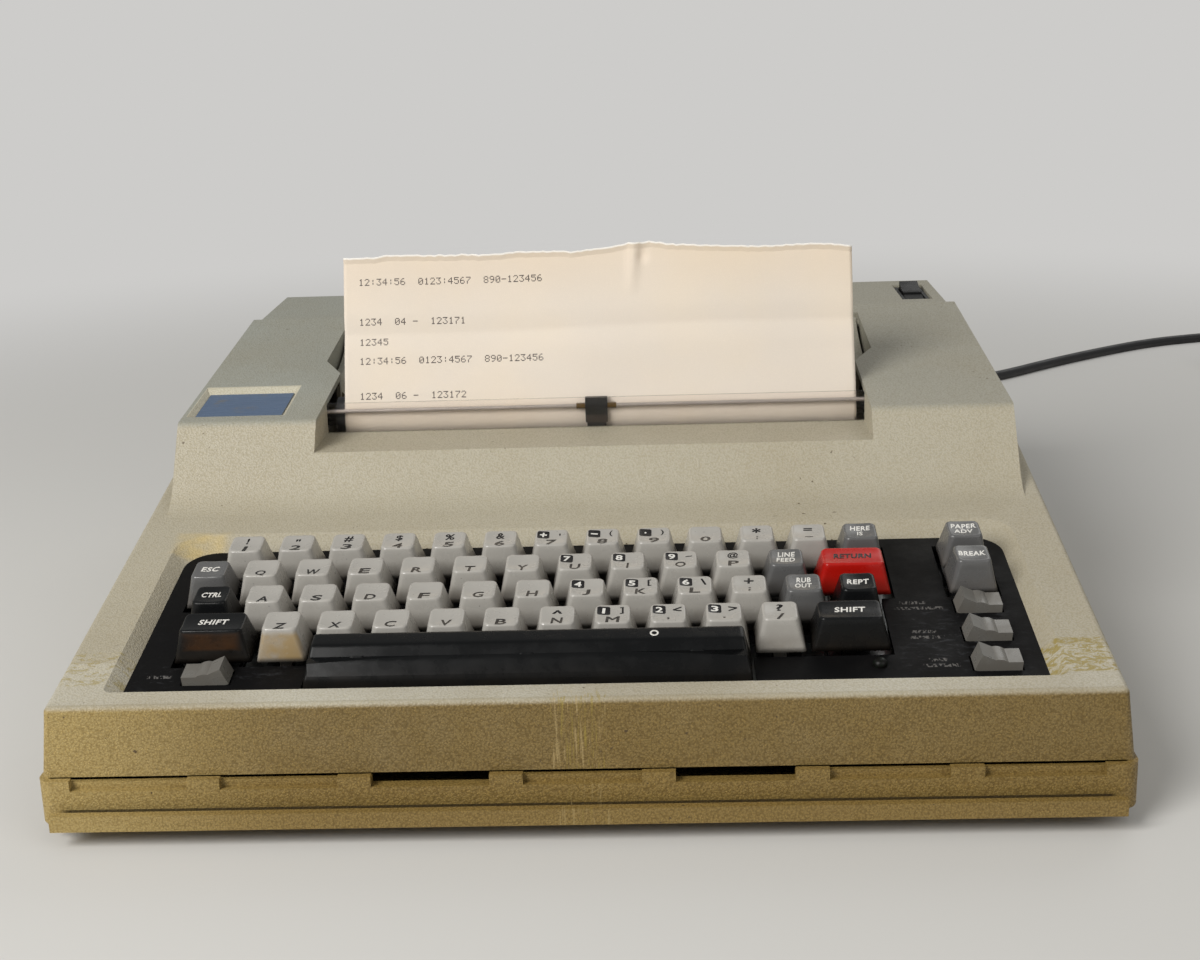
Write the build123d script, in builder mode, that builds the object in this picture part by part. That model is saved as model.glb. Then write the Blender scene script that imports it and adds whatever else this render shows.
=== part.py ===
from build123d import *
import os
from math import acos, atan2, ceil, cos, hypot, pi, radians, sin, sqrt, tan

# A desk printing terminal: a keyboard wedge in front, a raised thermal printer module behind.
# X runs to the right, Y to the rear, Z up. The origin is the middle of the footprint at desk level.
# Distances "back" are measured rearwards from the front rim, and heights from the desk.

# Case
depth = 388.0
middle = depth / 2
pan_width = 361.0
pan_corner = 5.0
foot_height = 6.0
foot_radius = 10.0
foot_inset_x = 32.0
foot_inset_y = 34.0
seam_height = 22.2
wall = 2.6
rim_reach = 6.0
rim_width = 351.0
rim_thickness = 3.0
rim_bottom = 6.8
rim_floor = 2.2
rim_height = 5.7
notch_width = 39.0
notch_height = 3.7
notch_pitch = 50.0
notch_count = 7
notch_wall = 2.0
cover_front_back = 9.5
cover_half_at_seam = 179.5
cover_half = 177.0
shoulder_end = middle + 6.0
crease_back = 11.0
crease_height = 46.0
bezel_angle = 10.0
cover_edge_radius = 2.0
panel_left = -60.0
panel_right = 150.0
panel_bottom = 26.0
panel_top = 58.0
panel_thickness = 1.5
panel_overlap = 6.0

# Printer module
module_half = 170.0
deck_half = 166.0
brow_back = middle - 17.0
brow_height = 101.0
brow_face_angle = 53.0
brow_foot_radius = 22.0
brow_edge_radius = 3.0
deck_back = depth - 62.0
deck_height = 115.5
sill_back = middle - 26.0
sill_height = 89.4
sill_end = middle + 7.6
mouth_half = 113.0
mouth_end = middle + 44.0
well_start = middle + 62.0
well_half = 122.0
well_end = middle + 118.0
well_skirt = 24.0
pocket_left = 146.4
pocket_right = 161.0
pocket_front = depth - 53.0
pocket_end = depth - 12.5
pocket_depth = 7.0
pocket_draft = 0.5
switch_width = 13.0
switch_length = 39.0
switch_hole_width = 11.6
switch_hole_length = 36.0
switch_depth = 16.0
switch_rim = 6.0
label_depth = 1.8
label_left = -166.0
label_right = -129.0
label_front = 9.0
label_back = 39.5
label_outer_left = -168.0
label_outer_right = -127.5
label_outer_front = 7.0
label_outer_back = 44.2
label_side_wall = 1.0
label_thickness = 0.5
label_margin = 0.4
window_half = 112.6
window_back = middle + 5.8
window_thickness = 1.6
window_height = 12.8
door_axis_back = middle + 113.5
door_axis_height = 109.5
door_pin_radius = 2.0
door_barrel_radius = 3.0
door_thickness = 2.2
door_gap = 1.4
door_front_height = 97.5
door_crease_back = middle + 68.0
door_crease_height = 99.8
door_scoop_back = middle + 92.0
door_scoop_height = 103.6

# Keyboard, laid out in the plane of the key tops
key_pitch = 19.05
key_gap = 1.75
key_top_above_bezel = 9.0
legend_row_from_crease = 36.0
key_shift_back = 4.3
first_column = -127.95
top_row = 57.15
cap_height = 12.0
cap_top_narrowing = 7.15
cap_top_depth = 12.2
cap_wall = 1.3
cap_top_shift = -0.5
cap_corner = 2.0
cap_dish_radius = 34.0
cap_dish_depth = 0.6
key_travel = 3.8
stem_size = 4.6
stem_end = 25.5
stem_clearance = 0.2
stem_bottom_gap = 0.5
plate_below_tops = 13.0
plate_thickness = 2.0
opening_clearance = 0.3
plate_half = 158.0
plate_front = -27.5
plate_back = 80.5
plate_post_radius = 3.0
well_top_half = 160.0
well_top_front = -26.5
well_top_back = 86.0
well_floor_half = 155.0
well_floor_front = -23.0
well_floor_back = 78.0
well_corner = 12.0
well_front_corner = 3.0
slab_half = 162.6
slab_front = -30.0
slab_back = 90.0
space_bar_column = 5.75
space_bar_units = 8
space_bar_guide_reach = 57.0
space_bar_front = -22.0
space_bar_back = -5.6
space_bar_top_front = -14.0
switch_size = 13.8
switch_flange = 15.6
switch_flange_height = 1.0
switch_top_below_tops = 18.0
frame_below_tops = 20.5
frame_thickness = 1.5
frame_half = 157.0
frame_front = -24.0
frame_back = 79.0
frame_ear_end = 170.5
frame_ear_width = 10.0
frame_post_x = 165.5
frame_post_rows = (5.0, 60.0)
frame_post_radius = 3.6
frame_screw_grip = 7.0
board_below_tops = 31.0
board_thickness = 1.6
keyboard_board_half = 150.0

# Rockers and lamp beside the keys
rocker_row = -12.0
rocker_step_pitch = 19.05
rocker_depth = 8.8
rocker_tip_x = 6.97
rocker_tip_z = 5.57
rocker_valley_z = 4.04
rocker_side_x = 8.0
rocker_side_z = -0.7
rocker_neck_x = 4.9
rocker_neck_z = -0.86
rocker_barrel_radius = 5.0
rocker_swing = 24.9
rocker_pivot_below_plate = 1.04
rocker_slot_half_x = 8.6
rocker_slot_half_y = 4.9
rocker_seat_clearance = 0.1
cradle_half_x = 5.0
cradle_half_y = 6.6
cradle_seat_top = 17.0
cradle_cheek_top = 15.3
cradle_cheek_gap = 0.3
lamp_radius = 2.5
lamp_x = 99.9
lamp_row = -11.8

# Paper path
paper_width = 215.9
paper_offset = 2.0
paper_thickness = 0.4
paper_lean = 20.0
paper_gap = 0.3
platen_radius = 9.0
platen_back = middle + 19.4
platen_height = 92.7
platen_half = 110.0
platen_shaft_radius = 3.0
platen_shaft_half = 124.0
roll_radius = 28.0
roll_back = middle + 78.0
roll_height = 70.0
spindle_radius = 8.0
spindle_end_radius = 3.0
running = 0.06
guide_thickness = 1.0
guide_drop = 1.2

# Printer chassis
chassis_half = 119.1
chassis_sheet = 1.6
chassis_front = middle - 22.0
chassis_end = middle + 124.0
shelf_top = 61.6
shelf_end = middle + 6.0
rail_radius = 3.0
rail_height = 76.0
front_rail_back = middle - 14.0
rear_rail_back = middle + 2.0
wire_radius = 0.8
wire_back = middle + 9.0
wire_height = 98.0
carriage_x = 0.85
carriage_half = 14.0
carriage_front = middle - 20.0
carriage_bottom = 70.0
carriage_top = 84.0
arm_front = middle + 7.9
arm_rear = middle + 9.1
arm_top = 91.0
arm_half = 4.0
belt_width = 5.0
belt_thickness = 1.2
belt_bottom = 64.0
belt_gap = 0.3
pulley_radius = 7.0
pulley_x = 104.5
pulley_back = middle - 6.0
motor_shaft_radius = 2.5
motor_radius = 14.0
motor_length = 30.0
gear_module = 0.8
platen_teeth = 18
pinion_teeth = 12
gear_left = 121.0
gear_width = 4.0
gear_gap = 0.4
gear_direction = 230.0
bracket_left = 126.5
feed_motor_length = 22.0
feed_motor_radius = 13.0
feed_shaft_depth = 8.0
spindle_half = 116.5
spindle_pin_half = 122.0

# Power cord, in distances back and heights
cord_diameter = 6.5
cord_exit_x = 128.0
cord_exit_height = 40.0
relief_end = 420.0
coil_x = 474.0
coil_back = 768.0
coil_radius = 45.5
coil_gap = 0.7
coil_half_turns = 5
plug_taper = 24.0
plug_length = 30.0
plug_width = 26.0
plug_face = 4.0
plug_floor_gap = 0.05
plug_pin_length = 17.0

# Values worked out from the driving sizes
front = -depth / 2
rear = front + depth
slope = radians(bezel_angle)
lean = radians(paper_lean)
brow_slope = atan2(deck_height - brow_height, deck_back - brow_back)
floor_top = foot_height + wall
pan_half = pan_width / 2
plate_top = -plate_below_tops
frame_top = -frame_below_tops
board_top = -board_below_tops
cord_radius = cord_diameter / 2


def at(back):
    """Y of a point that lies a distance behind the front rim."""
    return front + back


def side(x):
    """A plane facing sideways at x, whose own x runs rearwards and own y runs up."""
    return Plane(origin=(x, 0, 0), x_dir=(0, 1, 0), z_dir=(1, 0, 0))


def side_at(x, back, height):
    """A plane facing sideways with its origin at a point, its own x rearwards and own y up."""
    return Plane(origin=(x, at(back), height), x_dir=(0, 1, 0), z_dir=(1, 0, 0))


def shoulder_height(back):
    """Height of the bezel and shoulders at a distance behind the rim: a slope that ends level."""
    return crease_height + (min(back, shoulder_end) - crease_back) * tan(slope)


crease_point = (0, at(crease_back), crease_height)
crease = Plane(origin=crease_point, x_dir=(1, 0, 0), z_dir=(0, -sin(slope), cos(slope)))
keys = Plane(
    origin=crease.from_local_coords((0, legend_row_from_crease, key_top_above_bezel)),
    x_dir=(1, 0, 0),
    z_dir=crease.z_dir,
)
brow_plane = Plane(
    origin=(0, at(brow_back), brow_height), x_dir=(1, 0, 0), z_dir=(0, -sin(brow_slope), cos(brow_slope))
)


def column_x(column):
    """X of a key column, counted from the first number key."""
    return first_column + column * key_pitch


def row_y(row):
    """Middle of a key row in the key plane, counted from the back row."""
    return top_row - row * key_pitch + key_shift_back


# Keys: name, column of the key's middle, row, width in key pitches
special_keys = [
    ("key_here_is", 12, 0, 1),
    ("key_paper_advance", 14, 0, 1),
    ("key_escape", -0.5, 1, 1),
    ("key_line_feed", 10.5, 1, 1),
    ("key_return", 11.75, 1, 1.5),
    ("key_break", 14, 1, 1),
    ("key_control", -0.25, 2, 1),
    ("key_rub_out", 10.75, 2, 1),
    ("key_repeat", 11.75, 2, 1),
    ("key_shift_left", 0, 3, 1.5),
    ("key_shift_right", 11.5, 3, 1.5),
]
character_rows = [
    ("number_keys", 0, 0, 12),
    ("upper_letter_keys", 0.5, 1, 10),
    ("home_letter_keys", 0.75, 2, 10),
    ("lower_letter_keys", 1.25, 3, 10),
]
all_keys = [(column, row, units) for _, column, row, units in special_keys]
for _, first, row, count in character_rows:
    all_keys += [(first + index, row, 1) for index in range(count)]

# Rockers: name, column, step up from the front one, side on which the raised tip stands
rockers = [
    ("rocker_line", 0, 0, 1),
    ("rocker_speed", 14, 2, -1),
    ("rocker_parity", 14, 1, -1),
    ("rocker_duplex", 14, 0, -1),
]
rocker_places = [(column_x(column), rocker_row + step * rocker_step_pitch) for _, column, step, _ in rockers]
space_bar_x = column_x(space_bar_column)
space_bar_y = row_y(4)
switch_places = [(column_x(column), row_y(row)) for column, row, _ in all_keys]
bar_reaches = (-space_bar_guide_reach, 0, space_bar_guide_reach)
bar_stems = [(space_bar_x + reach, space_bar_y) for reach in bar_reaches]
switch_places += bar_stems

parts = []


def finish(name, builder):
    """Label a finished sub-part and keep it for export."""
    builder.part.label = name
    parts.append(builder.part)


# Lower housing
screw_x = pan_half - 14.5
screw_backs = (30.0, middle + 6.0, depth - 16.0)
screw_places = [(x, at(back)) for x in (-screw_x, screw_x) for back in screw_backs]
screw_shank_radius = 1.5
screw_head_radius = 3.2
screw_head_height = 2.2
screw_grip = 6.0
lower_boss_top = 14.0
boss_radius = 4.2
boss_gap = 0.3
screw_clearance = 0.2
foot_rows = (at(foot_inset_y), rear - foot_inset_y)
foot_places = [(end * (pan_half - foot_inset_x), y) for end in (-1, 1) for y in foot_rows]
foot_peg_radius = 2.2
standoff_height = 6.0
standoff_radius = 3.0
board_half = 150.0
board_front_back = 34.0
board_end_back = middle - 30.0
standoff_inset = 8.0
standoff_backs = (board_front_back + standoff_inset, board_end_back - standoff_inset)
standoff_places = [(x, at(back)) for x in (-140.0, 0.0, 140.0) for back in standoff_backs]
vent_width = 4.0
vent_length = 36.0
vent_pitch = 12.0
vent_count = 7

pan_depth = depth - rim_reach
pan_middle = at(rim_reach + pan_depth / 2)
with BuildPart() as lower_housing:
    with BuildSketch(Plane.XY.offset(foot_height)):
        with Locations((0, pan_middle)):
            RectangleRounded(pan_width, pan_depth, pan_corner)
    extrude(amount=seam_height - foot_height)
    fillet(lower_housing.faces().sort_by(Axis.Z)[0].edges(), wall / 2)
    with BuildSketch(Plane.XY.offset(floor_top)):
        with Locations((0, pan_middle)):
            RectangleRounded(pan_width - 2 * wall, pan_depth - 2 * wall, pan_corner - wall)
    extrude(amount=seam_height, mode=Mode.SUBTRACT)
    with BuildSketch(side(-rim_width / 2)):
        with BuildLine():
            Polyline(
                (at(0), rim_bottom),
                (at(rim_reach + wall), rim_bottom),
                (at(rim_reach + wall), rim_bottom + rim_floor),
                (at(rim_thickness), rim_bottom + rim_floor),
                (at(rim_thickness), rim_bottom + rim_height),
                (at(0), rim_bottom + rim_height),
                close=True,
            )
        make_face()
    extrude(amount=rim_width)
    with BuildSketch(Plane.XY.offset(floor_top - wall / 2)):
        with Locations((0, at(rim_reach + wall + notch_wall / 2))):
            Rectangle(pan_width - 2 * pan_corner, notch_wall)
    extrude(amount=seam_height - floor_top)
    notch_steps = range(-(notch_count // 2), notch_count // 2 + 1)
    with BuildSketch(Plane.XY.offset(seam_height - notch_height)):
        with Locations([(step * notch_pitch, at(rim_reach + wall / 2)) for step in notch_steps]):
            Rectangle(notch_width, wall)
    extrude(amount=notch_height, mode=Mode.SUBTRACT)
    with BuildSketch(Plane.XY.offset(seam_height - notch_height)):
        with Locations([(step * notch_pitch, at(rim_reach + wall + notch_wall / 2)) for step in (-1, 1)]):
            Rectangle(notch_width, notch_wall)
    extrude(amount=notch_height, mode=Mode.SUBTRACT)
    with BuildSketch(Plane.XY.offset(foot_height)):
        with Locations(screw_places):
            Circle(screw_head_radius + wall)
    extrude(amount=lower_boss_top - foot_height)
    with BuildSketch(Plane.XY.offset(foot_height)):
        with Locations(screw_places):
            Circle(screw_shank_radius + screw_clearance)
    extrude(amount=lower_boss_top, mode=Mode.SUBTRACT)
    with BuildSketch(Plane.XY.offset(foot_height)):
        with Locations(screw_places):
            Circle(screw_head_radius + screw_clearance)
    extrude(amount=screw_head_height, mode=Mode.SUBTRACT)
    with BuildSketch(Plane.XY.offset(foot_height)):
        with Locations(foot_places):
            Circle(foot_peg_radius)
    extrude(amount=wall, mode=Mode.SUBTRACT)
    with BuildSketch(Plane.XY.offset(floor_top - wall / 2)):
        with Locations(standoff_places):
            Circle(standoff_radius)
    extrude(amount=standoff_height + wall / 2)
    with BuildSketch(Plane.XY.offset(foot_height)):
        with Locations((0, at(board_front_back / 2 + board_end_back / 2))):
            with GridLocations(vent_pitch, 2 * vent_length, vent_count, 1):
                SlotOverall(vent_length, vent_width, rotation=90)
    extrude(amount=wall, mode=Mode.SUBTRACT)
finish("lower_housing", lower_housing)

# Upper housing
module_foot_back = (
    brow_height - brow_back * tan(radians(brow_face_angle)) - crease_height + crease_back * tan(slope)
) / (tan(slope) - tan(radians(brow_face_angle)))
module_foot_height = shoulder_height(module_foot_back)
skirt_below_seam = 10.0
module_bury = 30.0
girth_blend = 100.0
module_start = module_foot_back - brow_foot_radius


def wedge_outline():
    """Side outline of the keyboard wedge and the shoulders, carried below the seam."""
    return [
        (at(cover_front_back), seam_height - skirt_below_seam),
        (at(cover_front_back), seam_height),
        (at(crease_back), crease_height),
        (at(shoulder_end), shoulder_height(shoulder_end)),
        (rear, shoulder_height(depth)),
        (rear, seam_height - skirt_below_seam),
    ]


def girth_outline():
    """Front outline of the wedge: flared at the seam, upright above the crease."""
    points = [
        (cover_half_at_seam, seam_height - skirt_below_seam),
        (cover_half_at_seam, seam_height),
        (cover_half, crease_height),
        (cover_half, deck_height + skirt_below_seam),
    ]
    return points + [(-x, z) for x, z in reversed(points)]


def module_outline():
    """Side outline of the printer module, buried in the wedge below."""
    return [
        (at(module_start), shoulder_height(module_start) - module_bury),
        (at(module_start), shoulder_height(module_start)),
        (at(module_foot_back), module_foot_height),
        (at(brow_back), brow_height),
        (at(deck_back), deck_height),
        (rear, deck_height),
        (rear, shoulder_height(module_start) - module_bury),
    ]


def module_plan():
    """Plan of the printer module, stepped in a little where the flat deck starts."""
    points = [
        (module_half, at(module_start)),
        (module_half, at(deck_back)),
        (deck_half, at(deck_back)),
        (deck_half, rear),
    ]
    return points + [(-x, y) for x, y in reversed(points)]


with BuildPart() as cover_wedge:
    with BuildSketch(side(-pan_half)):
        with BuildLine():
            Polyline(*wedge_outline(), close=True)
        make_face()
    extrude(amount=pan_width)
    with BuildSketch(Plane.XZ.offset(-rear)) as girth:
        with BuildLine():
            Polyline(*girth_outline(), close=True)
        make_face()
        fillet(girth.vertices().sort_by_distance((cover_half, crease_height))[0], girth_blend)
        fillet(girth.vertices().sort_by_distance((-cover_half, crease_height))[0], girth_blend)
    extrude(amount=depth, mode=Mode.INTERSECT)
    upper_edges = cover_wedge.edges().filter_by(lambda e: e.center().Z > seam_height + wall)
    fillet(upper_edges.filter_by(lambda e: e.center().Y < rear - wall), cover_edge_radius)

with BuildPart() as cover_wedge_hollow:
    with BuildSketch(side(-pan_half)):
        with BuildLine():
            Polyline(*wedge_outline(), close=True)
        make_face()
        offset(amount=-wall, kind=Kind.INTERSECTION)
    extrude(amount=pan_width)
    with BuildSketch(Plane.XZ.offset(-rear)):
        with BuildLine():
            Polyline(*girth_outline(), close=True)
        make_face()
        offset(amount=-wall, kind=Kind.INTERSECTION)
    extrude(amount=depth, mode=Mode.INTERSECT)

with BuildPart() as module:
    with BuildSketch(side(-module_half)) as module_sketch:
        with BuildLine():
            Polyline(*module_outline(), close=True)
        make_face()
        foot_corner = (at(module_foot_back), module_foot_height)
        fillet(module_sketch.vertices().sort_by_distance(foot_corner)[0], brow_foot_radius)
        brow_corner = (at(brow_back), brow_height)
        fillet(module_sketch.vertices().sort_by_distance(brow_corner)[0], brow_edge_radius)
    extrude(amount=2 * module_half)
    with BuildSketch():
        with BuildLine():
            Polyline(*module_plan(), close=True)
        make_face()
    extrude(amount=deck_height, mode=Mode.INTERSECT)

with BuildPart() as module_hollow:
    with BuildSketch(side(-module_half)):
        with BuildLine():
            Polyline(*module_outline(), close=True)
        make_face()
        offset(amount=-wall, kind=Kind.INTERSECTION)
    extrude(amount=2 * module_half)
    with BuildSketch():
        with BuildLine():
            Polyline(*module_plan(), close=True)
        make_face()
        offset(amount=-wall, kind=Kind.INTERSECTION)
    extrude(amount=deck_height, mode=Mode.INTERSECT)

# Openings in the cover and the linings round them
lining_foot = sill_height - wall
well_points = [
    (mouth_half, at(mouth_end)),
    (well_half, at(well_start)),
    (well_half, at(well_end)),
]
well_plan = well_points + [(-x, y) for x, y in reversed(well_points)]
sill_start = sill_back - brow_foot_radius
with BuildPart() as mouth_cut:
    with BuildSketch(Plane.XY.offset(sill_height)):
        with Locations((0, (at(sill_start) + at(mouth_end)) / 2)):
            Rectangle(2 * mouth_half, mouth_end - sill_start)
    extrude(amount=deck_height)
    with BuildSketch(Plane.XY.offset(deck_height - well_skirt)):
        with BuildLine():
            Polyline(*well_plan, close=True)
        make_face()
    extrude(amount=deck_height)

pocket_top = [(pocket_left, pocket_front), (pocket_right, pocket_end)]
pocket_floor = [
    (pocket_left + pocket_draft, pocket_front + pocket_draft),
    (pocket_right - pocket_draft, pocket_end - pocket_draft),
]
switch_x = (pocket_left + pocket_right) / 2
switch_back = (pocket_front + pocket_end) / 2


def rectangle_between(corners):
    """A rectangle between two opposite corners."""
    (x1, y1), (x2, y2) = corners
    with Locations(((x1 + x2) / 2, (y1 + y2) / 2)):
        Rectangle(x2 - x1, y2 - y1)


with BuildPart() as linings:
    with BuildSketch(Plane.XY.offset(lining_foot)):
        with Locations((0, (at(sill_back - wall) + at(sill_end)) / 2)):
            Rectangle(2 * (mouth_half + wall), sill_end - sill_back + wall)
    extrude(amount=deck_height - lining_foot)
    with BuildSketch(Plane.XY.offset(deck_height - well_skirt)):
        with BuildLine():
            Polyline(*well_plan, close=True)
        make_face()
        offset(amount=wall, kind=Kind.INTERSECTION)
    extrude(amount=well_skirt)
    with BuildSketch(Plane.XY.offset(deck_height - pocket_depth - wall)):
        with Locations(((pocket_left + pocket_right) / 2, at((pocket_front + pocket_end) / 2))):
            Rectangle(pocket_right - pocket_left + 2 * wall, pocket_end - pocket_front + 2 * wall)
    extrude(amount=pocket_depth + wall)
    add(module.part, mode=Mode.INTERSECT)
    with BuildSketch(brow_plane.offset(-label_depth - wall)):
        low_corner = (label_outer_left - label_side_wall, label_outer_front - wall)
        high_corner = (label_outer_right + wall, label_outer_back + wall)
        rectangle_between([low_corner, high_corner])
    extrude(amount=label_depth + wall / 2)
    with BuildSketch(keys.offset(plate_top)):
        with Locations((0, (slab_front + slab_back) / 2)):
            Rectangle(2 * slab_half, slab_back - slab_front)
    extrude(amount=plate_below_tops - key_top_above_bezel - wall / 2)

with BuildPart() as pocket_cut:
    with BuildSketch(Plane.XY.offset(deck_height)) as pocket_mouth:
        rectangle_between([(x, at(back)) for x, back in pocket_top])
    with BuildSketch(Plane.XY.offset(deck_height - pocket_depth)):
        rectangle_between([(x, at(back)) for x, back in pocket_floor])
    loft()
    with BuildSketch(Plane.XY.offset(deck_height - pocket_depth)):
        with Locations((switch_x, at(switch_back))):
            Rectangle(switch_hole_width, switch_hole_length)
    extrude(amount=-2 * wall)

with BuildPart() as label_cut:
    with BuildSketch(brow_plane):
        rectangle_between([(label_outer_left, label_outer_front), (label_outer_right, label_outer_back)])
    with BuildSketch(brow_plane.offset(-label_depth)):
        rectangle_between([(label_left, label_front), (label_right, label_back)])
    loft()


def well_opening(half, low, high):
    """Outline of the keyboard well, wide corners at the back and small ones in front."""
    with BuildSketch(mode=Mode.PRIVATE) as opening:
        with Locations((0, (low + high) / 2)):
            Rectangle(2 * half, high - low)
        fillet(opening.vertices().group_by(Axis.Y)[-1], well_corner)
        fillet(opening.vertices().group_by(Axis.Y)[0], well_front_corner)
    add(opening.sketch)


with BuildPart() as well_cut:
    with BuildSketch(keys.offset(-key_top_above_bezel)) as well_mouth:
        well_opening(well_top_half, well_top_front, well_top_back)
    with BuildSketch(keys.offset(plate_top)):
        well_opening(well_floor_half, well_floor_front, well_floor_back)
    loft()
    with BuildSketch(keys.offset(-key_top_above_bezel)):
        well_opening(well_top_half, well_top_front, well_top_back)
    extrude(amount=key_top_above_bezel)

with BuildPart() as upper_housing:
    add(cover_wedge.part)
    add(module.part)
    add(cover_wedge_hollow.part, mode=Mode.SUBTRACT)
    add(module_hollow.part, mode=Mode.SUBTRACT)
    add(linings.part)
    add(mouth_cut.part, mode=Mode.SUBTRACT)
    add(pocket_cut.part, mode=Mode.SUBTRACT)
    add(label_cut.part, mode=Mode.SUBTRACT)
    add(well_cut.part, mode=Mode.SUBTRACT)
    with BuildSketch(Plane.XZ.offset(-rear)):
        with Locations(((panel_left + panel_right) / 2, (panel_bottom + panel_top) / 2)):
            Rectangle(panel_right - panel_left, panel_top - panel_bottom)
    extrude(amount=2 * wall, mode=Mode.SUBTRACT)
    split(bisect_by=Plane.XY.offset(seam_height), keep=Keep.TOP)
    for x, y in screw_places:
        boss_top = shoulder_height(y - front) - wall / 2
        with BuildSketch(Plane.XY.offset(lower_boss_top + boss_gap)):
            with Locations((x, y)):
                Circle(boss_radius)
        extrude(amount=boss_top - lower_boss_top - boss_gap)
        with BuildSketch(Plane.XY.offset(lower_boss_top + boss_gap)):
            with Locations((x, y)):
                Circle(screw_shank_radius)
        extrude(amount=screw_grip, mode=Mode.SUBTRACT)
    with BuildSketch(keys.offset(frame_top)):
        with Locations([(x, y) for x in (-frame_post_x, frame_post_x) for y in frame_post_rows]):
            Circle(frame_post_radius)
    extrude(amount=frame_below_tops - key_top_above_bezel - wall / 2)
    with BuildSketch(keys.offset(frame_top)):
        with Locations([(x, y) for x in (-frame_post_x, frame_post_x) for y in frame_post_rows]):
            Circle(screw_shank_radius)
    extrude(amount=frame_screw_grip, mode=Mode.SUBTRACT)
    with BuildSketch(side(-well_half - wall)):
        with Locations((at(door_axis_back), door_axis_height)):
            Circle(door_pin_radius + running)
    extrude(amount=2 * (well_half + wall), mode=Mode.SUBTRACT)
finish("upper_housing", upper_housing)

# Rear panel
connector_x = 20.0
connector_height = 40.0
connector_width = 39.0
connector_tall = 9.0
connector_outside = 2.4
connector_inside = 9.0
connector_flange_width = 53.0
connector_flange_tall = 12.5
relief_hole_radius = 8.0
with BuildPart() as rear_panel:
    with BuildSketch(Plane.XZ.offset(-(rear - wall))):
        with Locations(((panel_left + panel_right) / 2, (floor_top + panel_top + panel_overlap) / 2)):
            Rectangle(panel_right - panel_left + 2 * panel_overlap, panel_top + panel_overlap - floor_top)
        with Locations((connector_x, connector_height)):
            Rectangle(connector_width, connector_tall, mode=Mode.SUBTRACT)
        with Locations((cord_exit_x, cord_exit_height)):
            Circle(relief_hole_radius, mode=Mode.SUBTRACT)
    extrude(amount=panel_thickness)
finish("rear_panel", rear_panel)

# Rubber feet with pegs pressed into the floor
with BuildPart() as rubber_feet:
    with BuildSketch():
        with Locations(foot_places):
            Circle(foot_radius)
    extrude(amount=foot_height)
    chamfer(rubber_feet.faces().group_by(Axis.Z)[0].edges(), 0.8)
    with BuildSketch(Plane.XY.offset(foot_height)):
        with Locations(foot_places):
            Circle(foot_peg_radius)
    extrude(amount=wall)
finish("rubber_feet", rubber_feet)


# Screws: six join the housings from below, four hold the keyboard frame
housing_shank = lower_boss_top + boss_gap + screw_grip - foot_height - screw_head_height
frame_head_bottom = frame_top - frame_thickness - screw_head_height
screw_list = [(Plane.XY, x, y, foot_height, housing_shank) for x, y in screw_places]
for x in (-frame_post_x, frame_post_x):
    for y in frame_post_rows:
        screw_list.append((keys, x, y, frame_head_bottom, frame_thickness + frame_screw_grip))
with BuildPart() as screws:
    for plane, x, y, head_bottom, shank in screw_list:
        with BuildSketch(plane.offset(head_bottom)):
            with Locations((x, y)):
                Circle(screw_head_radius)
        extrude(amount=screw_head_height)
        with BuildSketch(plane.offset(head_bottom + screw_head_height)):
            with Locations((x, y)):
                Circle(screw_shank_radius)
        extrude(amount=shank)
finish("screws", screws)

# Nameplate, a bare foil in its recess
with BuildPart() as nameplate:
    with BuildSketch(brow_plane.offset(-label_depth)):
        left, right = label_left + label_margin, label_right - label_margin
        low, high = label_front + label_margin, label_back - label_margin
        rectangle_between([(left, low), (right, high)])
    extrude(amount=label_thickness)
finish("nameplate", nameplate)

# Paper door: a concave panel with a hinge barrel and pins at its rear edge
door_half = well_half - door_gap
door_nose = mouth_end - door_gap / 2
with BuildPart() as paper_door:
    with BuildSketch(side(-door_half)):
        with BuildLine():
            front_top = (at(door_nose), door_front_height)
            crease_top = (at(door_crease_back), door_crease_height)
            rear_top = (at(door_axis_back), door_axis_height + door_barrel_radius)
            rear_low = (at(door_axis_back), door_axis_height - door_barrel_radius)
            crease_low = (at(door_crease_back), door_crease_height - door_thickness)
            front_low = (at(door_nose), door_front_height - door_thickness)
            Line(front_top, crease_top)
            ThreePointArc(crease_top, (at(door_scoop_back), door_scoop_height), rear_top)
            Line(rear_top, rear_low)
            ThreePointArc(rear_low, (at(door_scoop_back), door_scoop_height - door_thickness), crease_low)
            Line(crease_low, front_low)
            Line(front_low, front_top)
        make_face()
        with Locations((at(door_axis_back), door_axis_height)):
            Circle(door_barrel_radius)
    extrude(amount=2 * door_half)
    with BuildSketch():
        with BuildLine():
            nose_corner = (mouth_half - door_gap, at(door_nose))
            edge = [nose_corner, (door_half, at(well_start)), (door_half, at(well_end))]
            Polyline(*edge, *[(-x, y) for x, y in reversed(edge)], close=True)
        make_face()
    extrude(amount=deck_height, mode=Mode.INTERSECT)
    with BuildSketch(side(-platen_shaft_half)):
        with Locations((at(door_axis_back), door_axis_height)):
            Circle(door_pin_radius)
    extrude(amount=2 * platen_shaft_half)
finish("paper_door", paper_door)

# Clear tear bar standing on the sill
with BuildPart() as paper_window:
    with BuildSketch(Plane.XY.offset(sill_height)):
        with Locations((0, at(window_back + window_thickness / 2))):
            Rectangle(2 * window_half, window_thickness)
    extrude(amount=window_height)
    chamfer(paper_window.edges().filter_by(Axis.X).sort_by(Axis.Z)[-2:], window_thickness / 4)
finish("paper_window", paper_window)

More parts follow.
